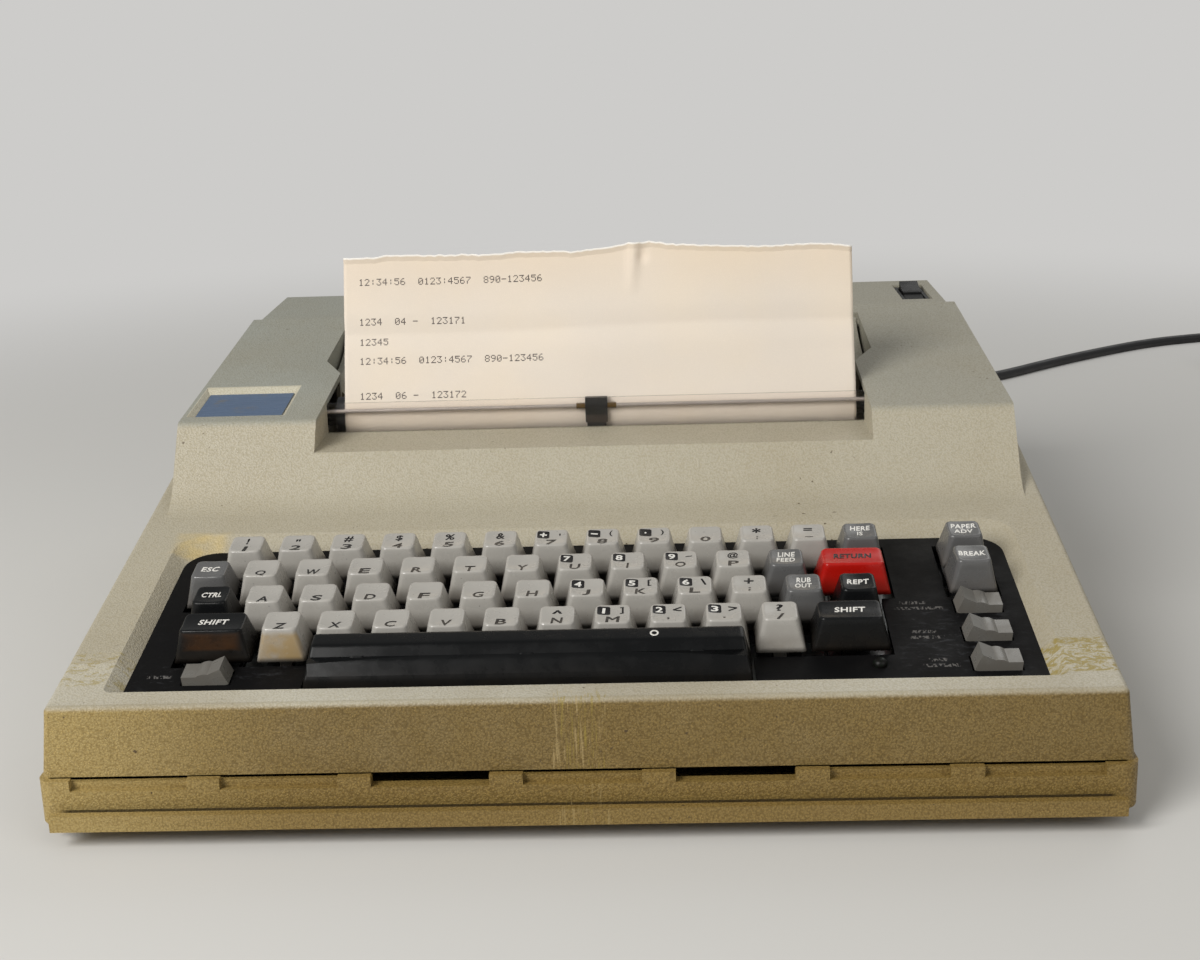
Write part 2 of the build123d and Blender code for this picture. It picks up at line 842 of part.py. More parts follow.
# Keyboard plate: dark sheet with one opening for the main keys and one for the right column
pivot_z = plate_top - rocker_pivot_below_plate
plate_post_x = plate_half - 5.0
plate_post_rows = (plate_front + 8.5, 30.0, plate_back - 6.5)
with BuildPart() as keyboard_plate:
    with BuildSketch(keys.offset(plate_top - plate_thickness)):
        with Locations((0, (plate_front + plate_back) / 2)):
            Rectangle(2 * plate_half, plate_back - plate_front)
    extrude(amount=plate_thickness)
    with BuildSketch(keys.offset(frame_top)):
        with Locations([(x, y) for x in (-plate_post_x, plate_post_x) for y in plate_post_rows]):
            Circle(plate_post_radius)
    extrude(amount=frame_below_tops - plate_below_tops - plate_thickness)
    opening_height = key_pitch + 2 * opening_clearance
    with BuildSketch(keys.offset(plate_top)):
        for row in range(4):
            for lone in (False, True):
                edges = []
                for column, key_row, units in all_keys:
                    if key_row == row and (column == 14) == lone:
                        half = units * key_pitch / 2 + opening_clearance
                        edges += [column_x(column) - half, column_x(column) + half]
                if edges:
                    with Locations(((min(edges) + max(edges)) / 2, row_y(row))):
                        Rectangle(max(edges) - min(edges), opening_height)
        bar_half = space_bar_units * key_pitch / 2 + opening_clearance
        with Locations((space_bar_x, (space_bar_front - 2 * opening_clearance + row_y(3)) / 2)):
            Rectangle(2 * bar_half, row_y(3) - space_bar_front + 2 * opening_clearance)
        with Locations(rocker_places):
            Rectangle(2 * rocker_slot_half_x, 2 * rocker_slot_half_y)
        with Locations((lamp_x, lamp_row)):
            Circle(lamp_radius)
    extrude(amount=-plate_thickness, mode=Mode.SUBTRACT)
finish("keyboard_plate", keyboard_plate)

keys_up = Axis(keys.origin, keys.z_dir)

# Status lamp, held under the plate by its flange
lamp_flange = 0.6
with BuildPart() as status_led:
    with BuildSketch(keys.offset(plate_top - plate_thickness)):
        with Locations((lamp_x, lamp_row)):
            Circle(lamp_radius)
    extrude(amount=plate_thickness + lamp_radius)
    fillet(status_led.faces().sort_by(keys_up)[-1].edges(), 0.8 * lamp_radius)
    with BuildSketch(keys.offset(plate_top - plate_thickness)):
        with Locations((lamp_x, lamp_row)):
            Circle(lamp_radius + lamp_flange)
    extrude(amount=-1.5)
finish("status_led", status_led)

# Switch frame with four ears for its screws
with BuildPart() as switch_frame:
    with BuildSketch(keys.offset(frame_top - frame_thickness)):
        with Locations((0, (frame_front + frame_back) / 2)):
            Rectangle(2 * frame_half, frame_back - frame_front)
        with Locations([(0, y) for y in frame_post_rows]):
            Rectangle(2 * frame_ear_end, frame_ear_width)
        with Locations([(x, y) for x in (-frame_post_x, frame_post_x) for y in frame_post_rows]):
            Circle(screw_shank_radius + screw_clearance, mode=Mode.SUBTRACT)
        with Locations(switch_places):
            Rectangle(switch_size, switch_size, mode=Mode.SUBTRACT)
    extrude(amount=frame_thickness)
finish("switch_frame", switch_frame)

# Switch bodies, each with a bore for its stem
stem_bore = stem_size + 2 * stem_clearance
bore_bottom = -(stem_end + key_travel + stem_bottom_gap)
with BuildPart() as key_switches:
    with BuildSketch(keys.offset(board_top)):
        with Locations(switch_places):
            Rectangle(switch_size, switch_size)
    extrude(amount=board_below_tops - switch_top_below_tops)
    with BuildSketch(keys.offset(frame_top)):
        with Locations(switch_places):
            Rectangle(switch_flange, switch_flange)
    extrude(amount=switch_flange_height)
    with BuildSketch(keys.offset(bore_bottom)):
        with Locations(switch_places):
            Rectangle(stem_bore, stem_bore)
    extrude(amount=-bore_bottom, mode=Mode.SUBTRACT)
finish("key_switches", key_switches)

# Keyboard circuit board
with BuildPart() as keyboard_board:
    with BuildSketch(keys.offset(board_top - board_thickness)):
        with Locations((0, (frame_front + frame_back) / 2)):
            Rectangle(2 * keyboard_board_half, frame_back - frame_front - 2)
    extrude(amount=board_thickness)
finish("keyboard_board", keyboard_board)

# Rocker cradles: a seat for the round underside and a cheek at each end
with BuildPart() as rocker_cradles:
    with BuildSketch(keys.offset(frame_top)):
        with Locations(rocker_places):
            Rectangle(2 * cradle_half_x, 2 * cradle_half_y)
    extrude(amount=frame_below_tops - cradle_cheek_top)
    with BuildSketch(keys.offset(-cradle_seat_top)):
        with Locations(rocker_places):
            Rectangle(2 * cradle_half_x, rocker_depth + 2 * cradle_cheek_gap)
    extrude(amount=cradle_seat_top, mode=Mode.SUBTRACT)
    for x, y in rocker_places:
        seat = Plane(origin=keys.from_local_coords((x, y, pivot_z)), x_dir=keys.x_dir, z_dir=keys.y_dir)
        with BuildSketch(seat.offset(-rocker_depth / 2 - cradle_cheek_gap)):
            Circle(rocker_barrel_radius + rocker_seat_clearance)
        extrude(amount=rocker_depth + 2 * cradle_cheek_gap, mode=Mode.SUBTRACT)
finish("rocker_cradles", rocker_cradles)

# Key caps
cap_narrowing = cap_top_narrowing - key_gap


def cap(units):
    """One cap with its stem, made round the middle of its top in the plane of the key tops."""
    base = units * key_pitch - key_gap
    top = units * key_pitch - cap_top_narrowing
    depth_at_base = key_pitch - key_gap
    with BuildPart() as body:
        with BuildSketch(Plane.XY.offset(-cap_height)):
            RectangleRounded(base, depth_at_base, cap_corner)
        with BuildSketch():
            with Locations((0, cap_top_shift)):
                RectangleRounded(top, cap_top_depth, cap_corner)
        loft()
        with Locations((0, cap_top_shift, cap_dish_radius - cap_dish_depth)):
            if units > 1:
                Cylinder(cap_dish_radius, top + cap_height, rotation=(0, 90, 0), mode=Mode.SUBTRACT)
            else:
                Sphere(cap_dish_radius, mode=Mode.SUBTRACT)
        with BuildSketch(Plane.XY.offset(-cap_height)):
            RectangleRounded(base - 2 * cap_wall, depth_at_base - 2 * cap_wall, cap_corner - cap_wall / 2)
        with BuildSketch(Plane.XY.offset(-cap_wall - cap_dish_depth)):
            with Locations((0, cap_top_shift)):
                RectangleRounded(top - 2 * cap_wall, cap_top_depth - 2 * cap_wall, cap_corner - cap_wall / 2)
        loft(mode=Mode.SUBTRACT)
        with BuildSketch(Plane.XY.offset(-stem_end)):
            Rectangle(stem_size, stem_size)
        extrude(amount=stem_end - cap_wall)
    return body.part


caps = {units: cap(units) for units in (1, 1.5)}
for name, column, row, units in special_keys:
    with BuildPart() as key:
        with Locations(keys.location * Location((column_x(column), row_y(row), 0))):
            add(caps[units])
    finish(name, key)
for name, first, row, count in character_rows:
    with BuildPart() as key_row:
        places = [(column_x(first + i), row_y(row), 0) for i in range(count)]
        with Locations([keys.location * Location(place) for place in places]):
            add(caps[1])
    finish(name, key_row)

# Space bar: a long hollow cap with a steep face in front, a stem and two guides
bar_half = space_bar_units * key_pitch / 2 - key_gap / 2
bar_end_slope = cap_narrowing / 2
bar_left = space_bar_x - bar_half
bar_right = space_bar_x + bar_half
with BuildPart() as space_bar:
    with BuildSketch(keys.offset(-cap_height)):
        rectangle_between([(bar_left, space_bar_front), (bar_right, space_bar_back)])
    with BuildSketch(keys):
        top_left = (bar_left + bar_end_slope, space_bar_top_front)
        rectangle_between([top_left, (bar_right - bar_end_slope, space_bar_back)])
    loft(ruled=True)
    with BuildSketch(keys.offset(-cap_height)):
        base_left = (bar_left + cap_wall, space_bar_front + cap_wall)
        rectangle_between([base_left, (bar_right - cap_wall, space_bar_back - cap_wall)])
    with BuildSketch(keys.offset(-cap_wall)):
        top_left = (bar_left + bar_end_slope + cap_wall, space_bar_top_front + cap_wall)
        rectangle_between([top_left, (bar_right - bar_end_slope - cap_wall, space_bar_back - cap_wall)])
    loft(ruled=True, mode=Mode.SUBTRACT)
    rib_front = (space_bar_front + space_bar_top_front + cap_wall) / 2
    rib_back = space_bar_back - cap_wall / 2
    with BuildSketch(keys.offset(-cap_height)):
        for x, _ in bar_stems:
            rectangle_between([(x - stem_size / 2, rib_front), (x + stem_size / 2, rib_back)])
    extrude(amount=cap_height / 2)
    with BuildSketch(keys.offset(-stem_end)):
        with Locations(bar_stems):
            Rectangle(stem_size, stem_size)
    extrude(amount=stem_end - cap_height / 2)
    chamfer(space_bar.edges().filter_by(Axis.X).sort_by(keys_up)[-2:], cap_wall / 2)
finish("space_bar", space_bar)

# Mode rockers: a V on a round barrel, one tip up
for (name, column, step, tilt), (x, y) in zip(rockers, rocker_places):
    axis = Plane(origin=keys.from_local_coords((x, y, pivot_z)), x_dir=keys.x_dir, z_dir=-keys.y_dir)
    with BuildPart() as rocker:
        with BuildSketch(axis.offset(-rocker_depth / 2)):
            with BuildLine(Plane.XY.rotated((0, 0, tilt * rocker_swing / 2))):
                outline = [
                    (0, rocker_valley_z),
                    (rocker_tip_x, rocker_tip_z),
                    (rocker_side_x, rocker_side_z),
                    (rocker_neck_x, rocker_neck_z),
                    (-rocker_neck_x, rocker_neck_z),
                    (-rocker_side_x, rocker_side_z),
                    (-rocker_tip_x, rocker_tip_z),
                ]
                Polyline(*outline, close=True)
            make_face()
            Circle(rocker_barrel_radius)
        extrude(amount=rocker_depth)
    finish(name, rocker)

# Power switch in its pocket: a tall bezel that fills the pocket, a body below, a rocker between them
pocket_floor_height = deck_height - pocket_depth
power_rocker_width = 9.0
power_rocker_length = 30.0
power_rocker_pivot = pocket_floor_height + switch_rim - 2.5
power_rocker_rise = 4.0
power_rocker_barrel = 4.0
power_rocker_swing = 20.0
power_cavity_clearance = 0.5
power_cavity_length = 32.0
power_cavity_depth = 2.5
with BuildPart() as power_switch:
    with BuildSketch(Plane.XY.offset(pocket_floor_height)):
        with Locations((switch_x, at(switch_back))):
            Rectangle(switch_width, switch_length)
    extrude(amount=switch_rim)
    with BuildSketch(Plane.XY.offset(pocket_floor_height)):
        with Locations((switch_x, at(switch_back))):
            Rectangle(switch_hole_width, switch_hole_length)
    extrude(amount=-switch_depth)
    with BuildSketch(Plane.XY.offset(pocket_floor_height + switch_rim)):
        with Locations((switch_x, at(switch_back))):
            Rectangle(power_rocker_width + 2 * power_cavity_clearance, power_cavity_length)
    extrude(amount=-power_cavity_depth - switch_rim, mode=Mode.SUBTRACT)
    with BuildSketch(Plane.XY.offset(pocket_floor_height - switch_depth)):
        with Locations([(switch_x, at(switch_back + reach)) for reach in (-8.0, 0.0, 8.0)]):
            Rectangle(0.8, 5.0)
    extrude(amount=-7.0)
finish("power_switch", power_switch)

with BuildPart() as power_rocker:
    with BuildSketch(side_at(switch_x - power_rocker_width / 2, switch_back, power_rocker_pivot)):
        with BuildLine(Plane.XY.rotated((0, 0, power_rocker_swing / 2))):
            half = power_rocker_length / 2
            outline = [(0, power_rocker_rise - 1), (half, power_rocker_rise), (half - 1, -0.5)]
            Polyline(*outline, *[(-x, z) for x, z in reversed(outline[1:])], close=True)
        make_face()
        Circle(power_rocker_barrel)
    extrude(amount=power_rocker_width)
finish("power_rocker", power_rocker)

# Rear connector: a 25 way D shell in the panel
shell_points = [(-19.0, 4.0), (19.0, 4.0), (17.6, -4.0), (-17.6, -4.0)]
contact_pitch = 2.76
row_gap = 1.42
with BuildPart() as rear_connector:
    panel_front = rear - wall - panel_thickness
    with BuildSketch(Plane.XZ.offset(-panel_front)):
        with Locations((connector_x, connector_height)):
            Rectangle(connector_flange_width, connector_flange_tall)
    extrude(amount=1.0)
    shell_face = rear - wall + connector_outside
    shell_middle = (connector_x, shell_face, connector_height)
    with BuildSketch(Plane(origin=shell_middle, x_dir=(1, 0, 0), z_dir=(0, -1, 0))):
        with BuildLine():
            Polyline(*shell_points, close=True)
        make_face()
    extrude(amount=connector_outside + panel_thickness)
    with BuildSketch(Plane.XZ.offset(-panel_front + 1.0)):
        with Locations((connector_x, connector_height)):
            Rectangle(connector_width - 1, connector_tall - 1)
    extrude(amount=connector_inside)
    with BuildSketch(Plane.XZ.offset(-(rear - wall + connector_outside))):
        upper = [(connector_x + (i - 6) * contact_pitch, connector_height + row_gap) for i in range(13)]
        lower = [(connector_x + (i - 5.5) * contact_pitch, connector_height - row_gap) for i in range(12)]
        with Locations(upper + lower):
            Circle(0.55)
    extrude(amount=connector_outside, mode=Mode.SUBTRACT)
finish("rear_connector", rear_connector)

# Power transformer: laminated core with a winding, standing on the floor
core_left = -140.0
core_width = 60.0
core_back = chassis_end + 7.0
core_depth = depth - 13.0 - core_back
core_height = 47.4
window_inset = 12.0
winding_bulge = 7.0
with BuildPart() as power_transformer:
    with BuildSketch(Plane.XY.offset(floor_top)):
        with Locations((core_left + core_width / 2, at(core_back + core_depth / 2))):
            Rectangle(core_width, core_depth - 2 * winding_bulge)
    extrude(amount=core_height)
    with BuildSketch(Plane.XY.offset(floor_top + window_inset)):
        with Locations((core_left + core_width / 2, at(core_back + core_depth / 2))):
            RectangleRounded(core_width - 2 * window_inset, core_depth, winding_bulge)
    extrude(amount=core_height - 2 * window_inset)
    with BuildSketch(Plane.XY.offset(floor_top)):
        with Locations((core_left + core_width / 2, at(core_back + core_depth / 2))):
            Rectangle(core_width + 16.0, core_depth - 2 * winding_bulge)
    extrude(amount=1.5)
finish("power_transformer", power_transformer)

# Main board with its larger chips and three capacitors
main_board_bottom = floor_top + standoff_height
main_board_top = main_board_bottom + board_thickness
chip_height = 3.6
capacitor_height = 15.0
chip_size = (19.0, 7.0)
controller_size = (52.0, 15.0)
controller_to_edge = 29.0
capacitor_radius = 8.0
capacitor_to_edge = 16.0
chip_places = [(x, at(back)) for x in range(-120, 121, 30) for back in (60, 85, 110)]
capacitor_places = [(x, at(board_end_back - capacitor_to_edge)) for x in (-110.0, -88.0, -66.0)]
with BuildPart() as main_board:
    with BuildSketch(Plane.XY.offset(main_board_bottom)):
        with Locations((0, at((board_front_back + board_end_back) / 2))):
            Rectangle(2 * board_half, board_end_back - board_front_back)
    extrude(amount=board_thickness)
    with BuildSketch(Plane.XY.offset(main_board_top)):
        with Locations(chip_places):
            Rectangle(*chip_size)
        with Locations((0, at(board_end_back - controller_to_edge))):
            Rectangle(*controller_size)
    extrude(amount=chip_height)
    with BuildSketch(Plane.XY.offset(main_board_top)):
        with Locations(capacitor_places):
            Circle(capacitor_radius)
    extrude(amount=capacitor_height)
finish("main_board", main_board)

# Strain relief gripping the panel, tapering towards the cord
relief_axis = Plane(origin=(cord_exit_x, rear - wall, cord_exit_height), x_dir=(1, 0, 0), z_dir=(0, 1, 0))
relief_flange = 10.5
relief_tip = 5.0
relief_length = relief_end - (depth - wall)
with BuildPart() as strain_relief:
    with BuildSketch(relief_axis.offset(-panel_thickness - 3.0)):
        Circle(relief_flange)
    extrude(amount=3.0)
    with BuildSketch(relief_axis.offset(-panel_thickness)):
        Circle(relief_hole_radius)
    extrude(amount=panel_thickness)
    with BuildSketch(relief_axis):
        Circle(relief_flange)
    extrude(amount=3.0)
    with BuildSketch(relief_axis.offset(3.0)):
        Circle(relief_hole_radius)
    with BuildSketch(relief_axis.offset(relief_length)):
        Circle(relief_tip)
    loft()
finish("strain_relief", strain_relief)

side_top = 88.0

side_step_end = middle + 38.0
side_step_run = 6.0
side_step_top = 99.4
side_rail_top = 86.0
side_front_top = 82.0


# Printer chassis: base, two side plates, a shelf under the carriage and a bracket outside
def chassis_side():
    """Outline of a side plate."""
    return [
        (at(chassis_front), floor_top),
        (at(chassis_end), floor_top),
        (at(chassis_end), side_top),
        (at(side_step_end), side_top),
        (at(side_step_end - side_step_run), side_step_top),
        (at(shelf_end), side_step_top),
        (at(rear_rail_back), side_rail_top),
        (at(carriage_front), side_front_top + carriage_front - chassis_front),
        (at(chassis_front), side_front_top),
    ]


bearing_places = [
    (front_rail_back, rail_height, rail_radius),
    (rear_rail_back, rail_height, rail_radius),
    (wire_back, wire_height, wire_radius),
    (platen_back, platen_height, platen_shaft_radius + running),
    (roll_back, roll_height, spindle_end_radius + running),
]
pulley_y = at(pulley_back)
pinion_distance = gear_module * (platen_teeth + pinion_teeth) / 2 + gear_gap
pinion_back = platen_back + pinion_distance * cos(radians(gear_direction))
pinion_height = platen_height + pinion_distance * sin(radians(gear_direction))
bracket_front = middle - 4.0
bracket_rear = middle + 28.0
with BuildPart() as printer_chassis:
    with BuildSketch(Plane.XY.offset(floor_top)):
        with Locations((0, at((chassis_front + chassis_end) / 2))):
            Rectangle(2 * chassis_half, chassis_end - chassis_front)
        bracket_foot = (bracket_left + chassis_sheet, at(bracket_rear))
        rectangle_between([(chassis_half, at(bracket_front)), bracket_foot])
    extrude(amount=chassis_sheet)
    for x in (-chassis_half, chassis_half - chassis_sheet):
        with BuildSketch(side(x)):
            with BuildLine():
                Polyline(*chassis_side(), close=True)
            make_face()
            for back, height, radius in bearing_places:
                with Locations((at(back), height)):
                    Circle(radius, mode=Mode.SUBTRACT)
            with Locations((at(roll_back), roll_height + side_top / 2)):
                Rectangle(2 * (spindle_end_radius + running), side_top, mode=Mode.SUBTRACT)
        extrude(amount=chassis_sheet)
    with BuildSketch(Plane.XY.offset(shelf_top - chassis_sheet)):
        with Locations((0, at((chassis_front + shelf_end) / 2))):
            Rectangle(2 * chassis_half, shelf_end - chassis_front)
        with Locations((-pulley_x, pulley_y)):
            Circle(motor_shaft_radius + running, mode=Mode.SUBTRACT)
    extrude(amount=chassis_sheet)
    with BuildSketch(Plane.XY.offset(shelf_top)):
        with Locations((pulley_x, pulley_y)):
            Circle(motor_shaft_radius)
    extrude(amount=belt_bottom + belt_width - shelf_top)
    with BuildSketch(side(bracket_left)):
        rectangle_between([(at(bracket_front), floor_top), (at(bracket_rear), platen_height + 6.0)])
        with Locations((at(pinion_back), pinion_height)):
            Circle(motor_shaft_radius + running, mode=Mode.SUBTRACT)
    extrude(amount=chassis_sheet)
finish("printer_chassis", printer_chassis)

# Paper path, in a side plane: from the roll, under the platen, up and out of the mouth
sheet_radius = platen_radius + paper_gap + paper_thickness / 2
leave_radius = roll_radius + paper_gap + paper_thickness / 2
centre_gap = hypot(roll_back - platen_back, platen_height - roll_height)
centre_angle = atan2(platen_height - roll_height, roll_back - platen_back)
wrap_angle = acos((leave_radius - sheet_radius) / centre_gap) - centre_angle


def on_platen(radius, angle):
    """A point of the paper path round the platen, at an angle below or above its front."""
    return at(platen_back) - radius * cos(angle), platen_height - radius * sin(angle)


def below(radius, run):
    """A point of the run between platen and roll, at an offset from the platen's axis."""
    y, z = on_platen(radius, wrap_angle)
    return y + run * sin(wrap_angle), z - run * cos(wrap_angle)


def above(radius, run):
    """A point of the run that stands out of the mouth."""
    y, z = on_platen(radius, -lean)
    return y + run * sin(lean), z + run * cos(lean)


lower_run = sqrt(centre_gap**2 - (leave_radius - sheet_radius) ** 2)
torn_edge = [(-105.4, 61.0), (-60.4, 61.5), (-13.4, 61.9), (3.7, 62.7), (15.6, 64.5), (25.0, 65.1)]
torn_edge += [(32.6, 63.6), (46.1, 62.8), (71.5, 61.7), (88.4, 62.1), (110.6, 60.6)]
torn_from = 6.0
upper_run = 80.0
with BuildPart() as paper_sheet:
    outer = sheet_radius + paper_thickness / 2
    inner = sheet_radius - paper_thickness / 2
    half_wrap = (wrap_angle - lean) / 2
    with BuildSketch(side(paper_offset - paper_width / 2)):
        with BuildLine():
            Line(below(outer, lower_run), below(outer, 0))
            ThreePointArc(below(outer, 0), on_platen(outer, half_wrap), above(outer, 0))
            Line(above(outer, 0), above(outer, upper_run))
            Line(above(outer, upper_run), above(inner, upper_run))
            Line(above(inner, upper_run), above(inner, 0))
            ThreePointArc(above(inner, 0), on_platen(inner, half_wrap), below(inner, 0))
            Line(below(inner, 0), below(inner, lower_run))
            Line(below(inner, lower_run), below(outer, lower_run))
        make_face()
    extrude(amount=paper_width)
    sheet_y, sheet_z = above(outer, torn_from)
    torn_plane = Plane(origin=(0, sheet_y - 1, sheet_z), x_dir=(1, 0, 0), z_dir=(0, -cos(lean), sin(lean)))
    with BuildSketch(torn_plane):
        with BuildLine():
            edge = Spline(*torn_edge)
            far = 2 * upper_run
            beyond = [(-paper_width, torn_edge[0][1]), (-paper_width, far)]
            beyond += [(paper_width, far), (paper_width, torn_edge[-1][1])]
            Polyline(edge @ 0, *beyond, edge @ 1)
        make_face()
    extrude(amount=-10, mode=Mode.SUBTRACT)
finish("paper_sheet", paper_sheet)

# Curved guide's flat plate under the run from the roll
guide_radius = sheet_radius + paper_thickness / 2 + guide_drop
with BuildPart() as paper_guide:
    with BuildSketch(side(-chassis_half + chassis_sheet)):
        with BuildLine():
            points = [
                below(guide_radius, 8.0),
                below(guide_radius, lower_run - 6.0),
                below(guide_radius + guide_thickness, lower_run - 6.0),
                below(guide_radius + guide_thickness, 8.0),
            ]
            Polyline(*points, close=True)
        make_face()
    extrude(amount=2 * (chassis_half - chassis_sheet))
finish("paper_guide", paper_guide)

# Carriage rails and the head's guide wire
with BuildPart() as carriage_rails:
    with BuildSketch(side(-chassis_half)):
        with Locations([(at(back), rail_height) for back in (front_rail_back, rear_rail_back)]):
            Circle(rail_radius)
        with Locations((at(wire_back), wire_height)):
            Circle(wire_radius)
    extrude(amount=2 * chassis_half)
finish("carriage_rails", carriage_rails)

# Print carriage with its arm behind the sill and a fork round the belt
fork_half = 4.0
front_belt_back = pulley_back - pulley_radius - belt_gap - belt_thickness / 2
fork_front = front_belt_back - 2.8
fork_rear = front_belt_back + 2.2
fork_bottom = 62.6
with BuildPart() as print_carriage:
    with BuildSketch(Plane.XY.offset(carriage_bottom)):
        with Locations((carriage_x, at((carriage_front + shelf_end) / 2))):
            Rectangle(2 * carriage_half, shelf_end - carriage_front)
    extrude(amount=carriage_top - carriage_bottom)
    with BuildSketch(side(carriage_x - arm_half)):
        rectangle_between([(at(shelf_end - wall), rail_height), (at(arm_rear), carriage_top)])
        rectangle_between([(at(arm_front), rail_height), (at(arm_rear), arm_top)])
    extrude(amount=2 * arm_half)
    with BuildSketch(side(carriage_x - fork_half)):
        rectangle_between([(at(fork_front), fork_bottom), (at(fork_rear), carriage_bottom)])
        slot_top = belt_bottom + belt_width + belt_gap
        with Locations((at(front_belt_back), (fork_bottom + slot_top) / 2)):
            Rectangle(belt_thickness + 2 * belt_gap, slot_top - fork_bottom, mode=Mode.SUBTRACT)
    extrude(amount=2 * fork_half)
    with BuildSketch(side(carriage_x - carriage_half)):
        with Locations([(at(back), rail_height) for back in (front_rail_back, rear_rail_back)]):
            Circle(rail_radius + running)
    extrude(amount=2 * carriage_half, mode=Mode.SUBTRACT)
finish("print_carriage", print_carriage)

# Print head on the arm, riding on the wire with a bush at each side
head_half = 4.65
head_front = wire_back - 1.3
head_foot_rear = arm_rear + 0.1
head_top_rear = wire_back + 2.0
head_slant_from = 93.5
head_top = 101.5
bush_radius = 1.2
bush_reach = 8.4
with BuildPart() as print_head:
    with BuildSketch(side(carriage_x - head_half)):
        with BuildLine():
            points = [
                (at(head_front), arm_top),
                (at(head_foot_rear), arm_top),
                (at(head_foot_rear), head_slant_from),
                (at(head_top_rear), head_top),
                (at(head_front), head_top),
            ]
            Polyline(*points, close=True)
        make_face()
    extrude(amount=2 * head_half)
    with BuildSketch(side(carriage_x - bush_reach)):
        with Locations((at(wire_back), wire_height)):
            Circle(bush_radius)
    extrude(amount=2 * bush_reach)
    with BuildSketch(side(carriage_x - bush_reach)):
        with Locations((at(wire_back), wire_height)):
            Circle(wire_radius + running)
    extrude(amount=2 * bush_reach, mode=Mode.SUBTRACT)
finish("print_head", print_head)

# Drive belt, a closed loop round the two pulleys
belt_inner = pulley_radius + belt_gap
with BuildPart() as drive_belt:
    with BuildSketch(Plane.XY.offset(belt_bottom)):
        with Locations((0, pulley_y)):
            SlotOverall(2 * (pulley_x + belt_inner + belt_thickness), 2 * (belt_inner + belt_thickness))
            SlotOverall(2 * (pulley_x + belt_inner), 2 * belt_inner, mode=Mode.SUBTRACT)
    extrude(amount=belt_width)
finish("drive_belt", drive_belt)

pulley_bottom = belt_bottom - 0.6
pulley_tall = belt_width + 1.2
pulley_spoke_hole = 1.0
motor_shaft_reach = 12.0
motor_hole_depth = 14.0
motor_cap_inset = 3.0
motor_cap_step = 1.0
with BuildPart() as motor_pulley:
    with BuildSketch(Plane.XY.offset(pulley_bottom)):
        with Locations((-pulley_x, pulley_y)):
            Circle(pulley_radius)
        with Locations((-pulley_x + 4.6, pulley_y)):
            Circle(pulley_spoke_hole, mode=Mode.SUBTRACT)
    extrude(amount=pulley_tall)
    with BuildSketch(Plane.XY.offset(shelf_top - chassis_sheet - motor_shaft_reach)):
        with Locations((-pulley_x, pulley_y)):
            Circle(motor_shaft_radius)
    extrude(amount=pulley_bottom - shelf_top + chassis_sheet + motor_shaft_reach)
finish("motor_pulley", motor_pulley)

with BuildPart() as idler_pulley:
    with BuildSketch(Plane.XY.offset(pulley_bottom)):
        with Locations((pulley_x, pulley_y)):
            Circle(pulley_radius)
            Circle(motor_shaft_radius + running, mode=Mode.SUBTRACT)
        with Locations((pulley_x + 4.8, pulley_y)):
            Circle(pulley_spoke_hole, mode=Mode.SUBTRACT)
    extrude(amount=pulley_tall)
finish("idler_pulley", idler_pulley)

with BuildPart() as carriage_motor:
    with BuildSketch(Plane.XY.offset(shelf_top - chassis_sheet)):
        with Locations((-pulley_x, pulley_y)):
            Circle(motor_radius - 2 * motor_cap_step)
    extrude(amount=-motor_length)
    with BuildSketch(Plane.XY.offset(shelf_top - chassis_sheet - motor_cap_inset)):
        with Locations((-pulley_x, pulley_y)):
            Circle(motor_radius - motor_cap_step)
    extrude(amount=2 * motor_cap_inset - motor_length)
    with BuildSketch(Plane.XY.offset(shelf_top - chassis_sheet)):
        with Locations((-pulley_x, pulley_y)):
            Circle(motor_shaft_radius + running)
    extrude(amount=-motor_hole_depth, mode=Mode.SUBTRACT)
finish("carriage_motor", carriage_motor)

# Platen: a sleeve on a shaft
with BuildPart() as platen_roller:
    with BuildSketch(side(-platen_half)):
        with Locations((at(platen_back), platen_height)):
            Circle(platen_radius)
    extrude(amount=2 * platen_half)
    with BuildSketch(side(-platen_shaft_half)):
        with Locations((at(platen_back), platen_height)):
            Circle(platen_shaft_radius)
    extrude(amount=2 * platen_shaft_half)
finish("platen_roller", platen_roller)


def gear_outline(teeth, turn):
    """Points of a gear with straight-sided teeth, round the origin."""
    points = []
    for tooth in range(teeth):
        for radius, share in ((-1.0, -0.32), (1.0, -0.14), (1.0, 0.14), (-1.0, 0.32)):
            angle = 2 * pi * (tooth + share) / teeth + turn
            reach = gear_module * (teeth / 2 + radius)
            points.append((reach * cos(angle), reach * sin(angle)))
    return points


toward_pinion = radians(gear_direction)
with BuildPart() as platen_gear:
    with BuildSketch(side_at(gear_left, platen_back, platen_height)):
        with BuildLine():
            Polyline(*gear_outline(platen_teeth, toward_pinion), close=True)
        make_face()
        Circle(platen_shaft_radius, mode=Mode.SUBTRACT)
    extrude(amount=gear_width)
finish("platen_gear", platen_gear)

with BuildPart() as feed_pinion:
    with BuildSketch(side_at(gear_left, pinion_back, pinion_height)):
        with BuildLine():
            Polyline(*gear_outline(pinion_teeth, toward_pinion + pi / pinion_teeth), close=True)
        make_face()
    extrude(amount=gear_width)
    with BuildSketch(side_at(gear_left, pinion_back, pinion_height)):
        Circle(motor_shaft_radius)
    extrude(amount=bracket_left + chassis_sheet - gear_left + feed_shaft_depth)
finish("feed_pinion", feed_pinion)

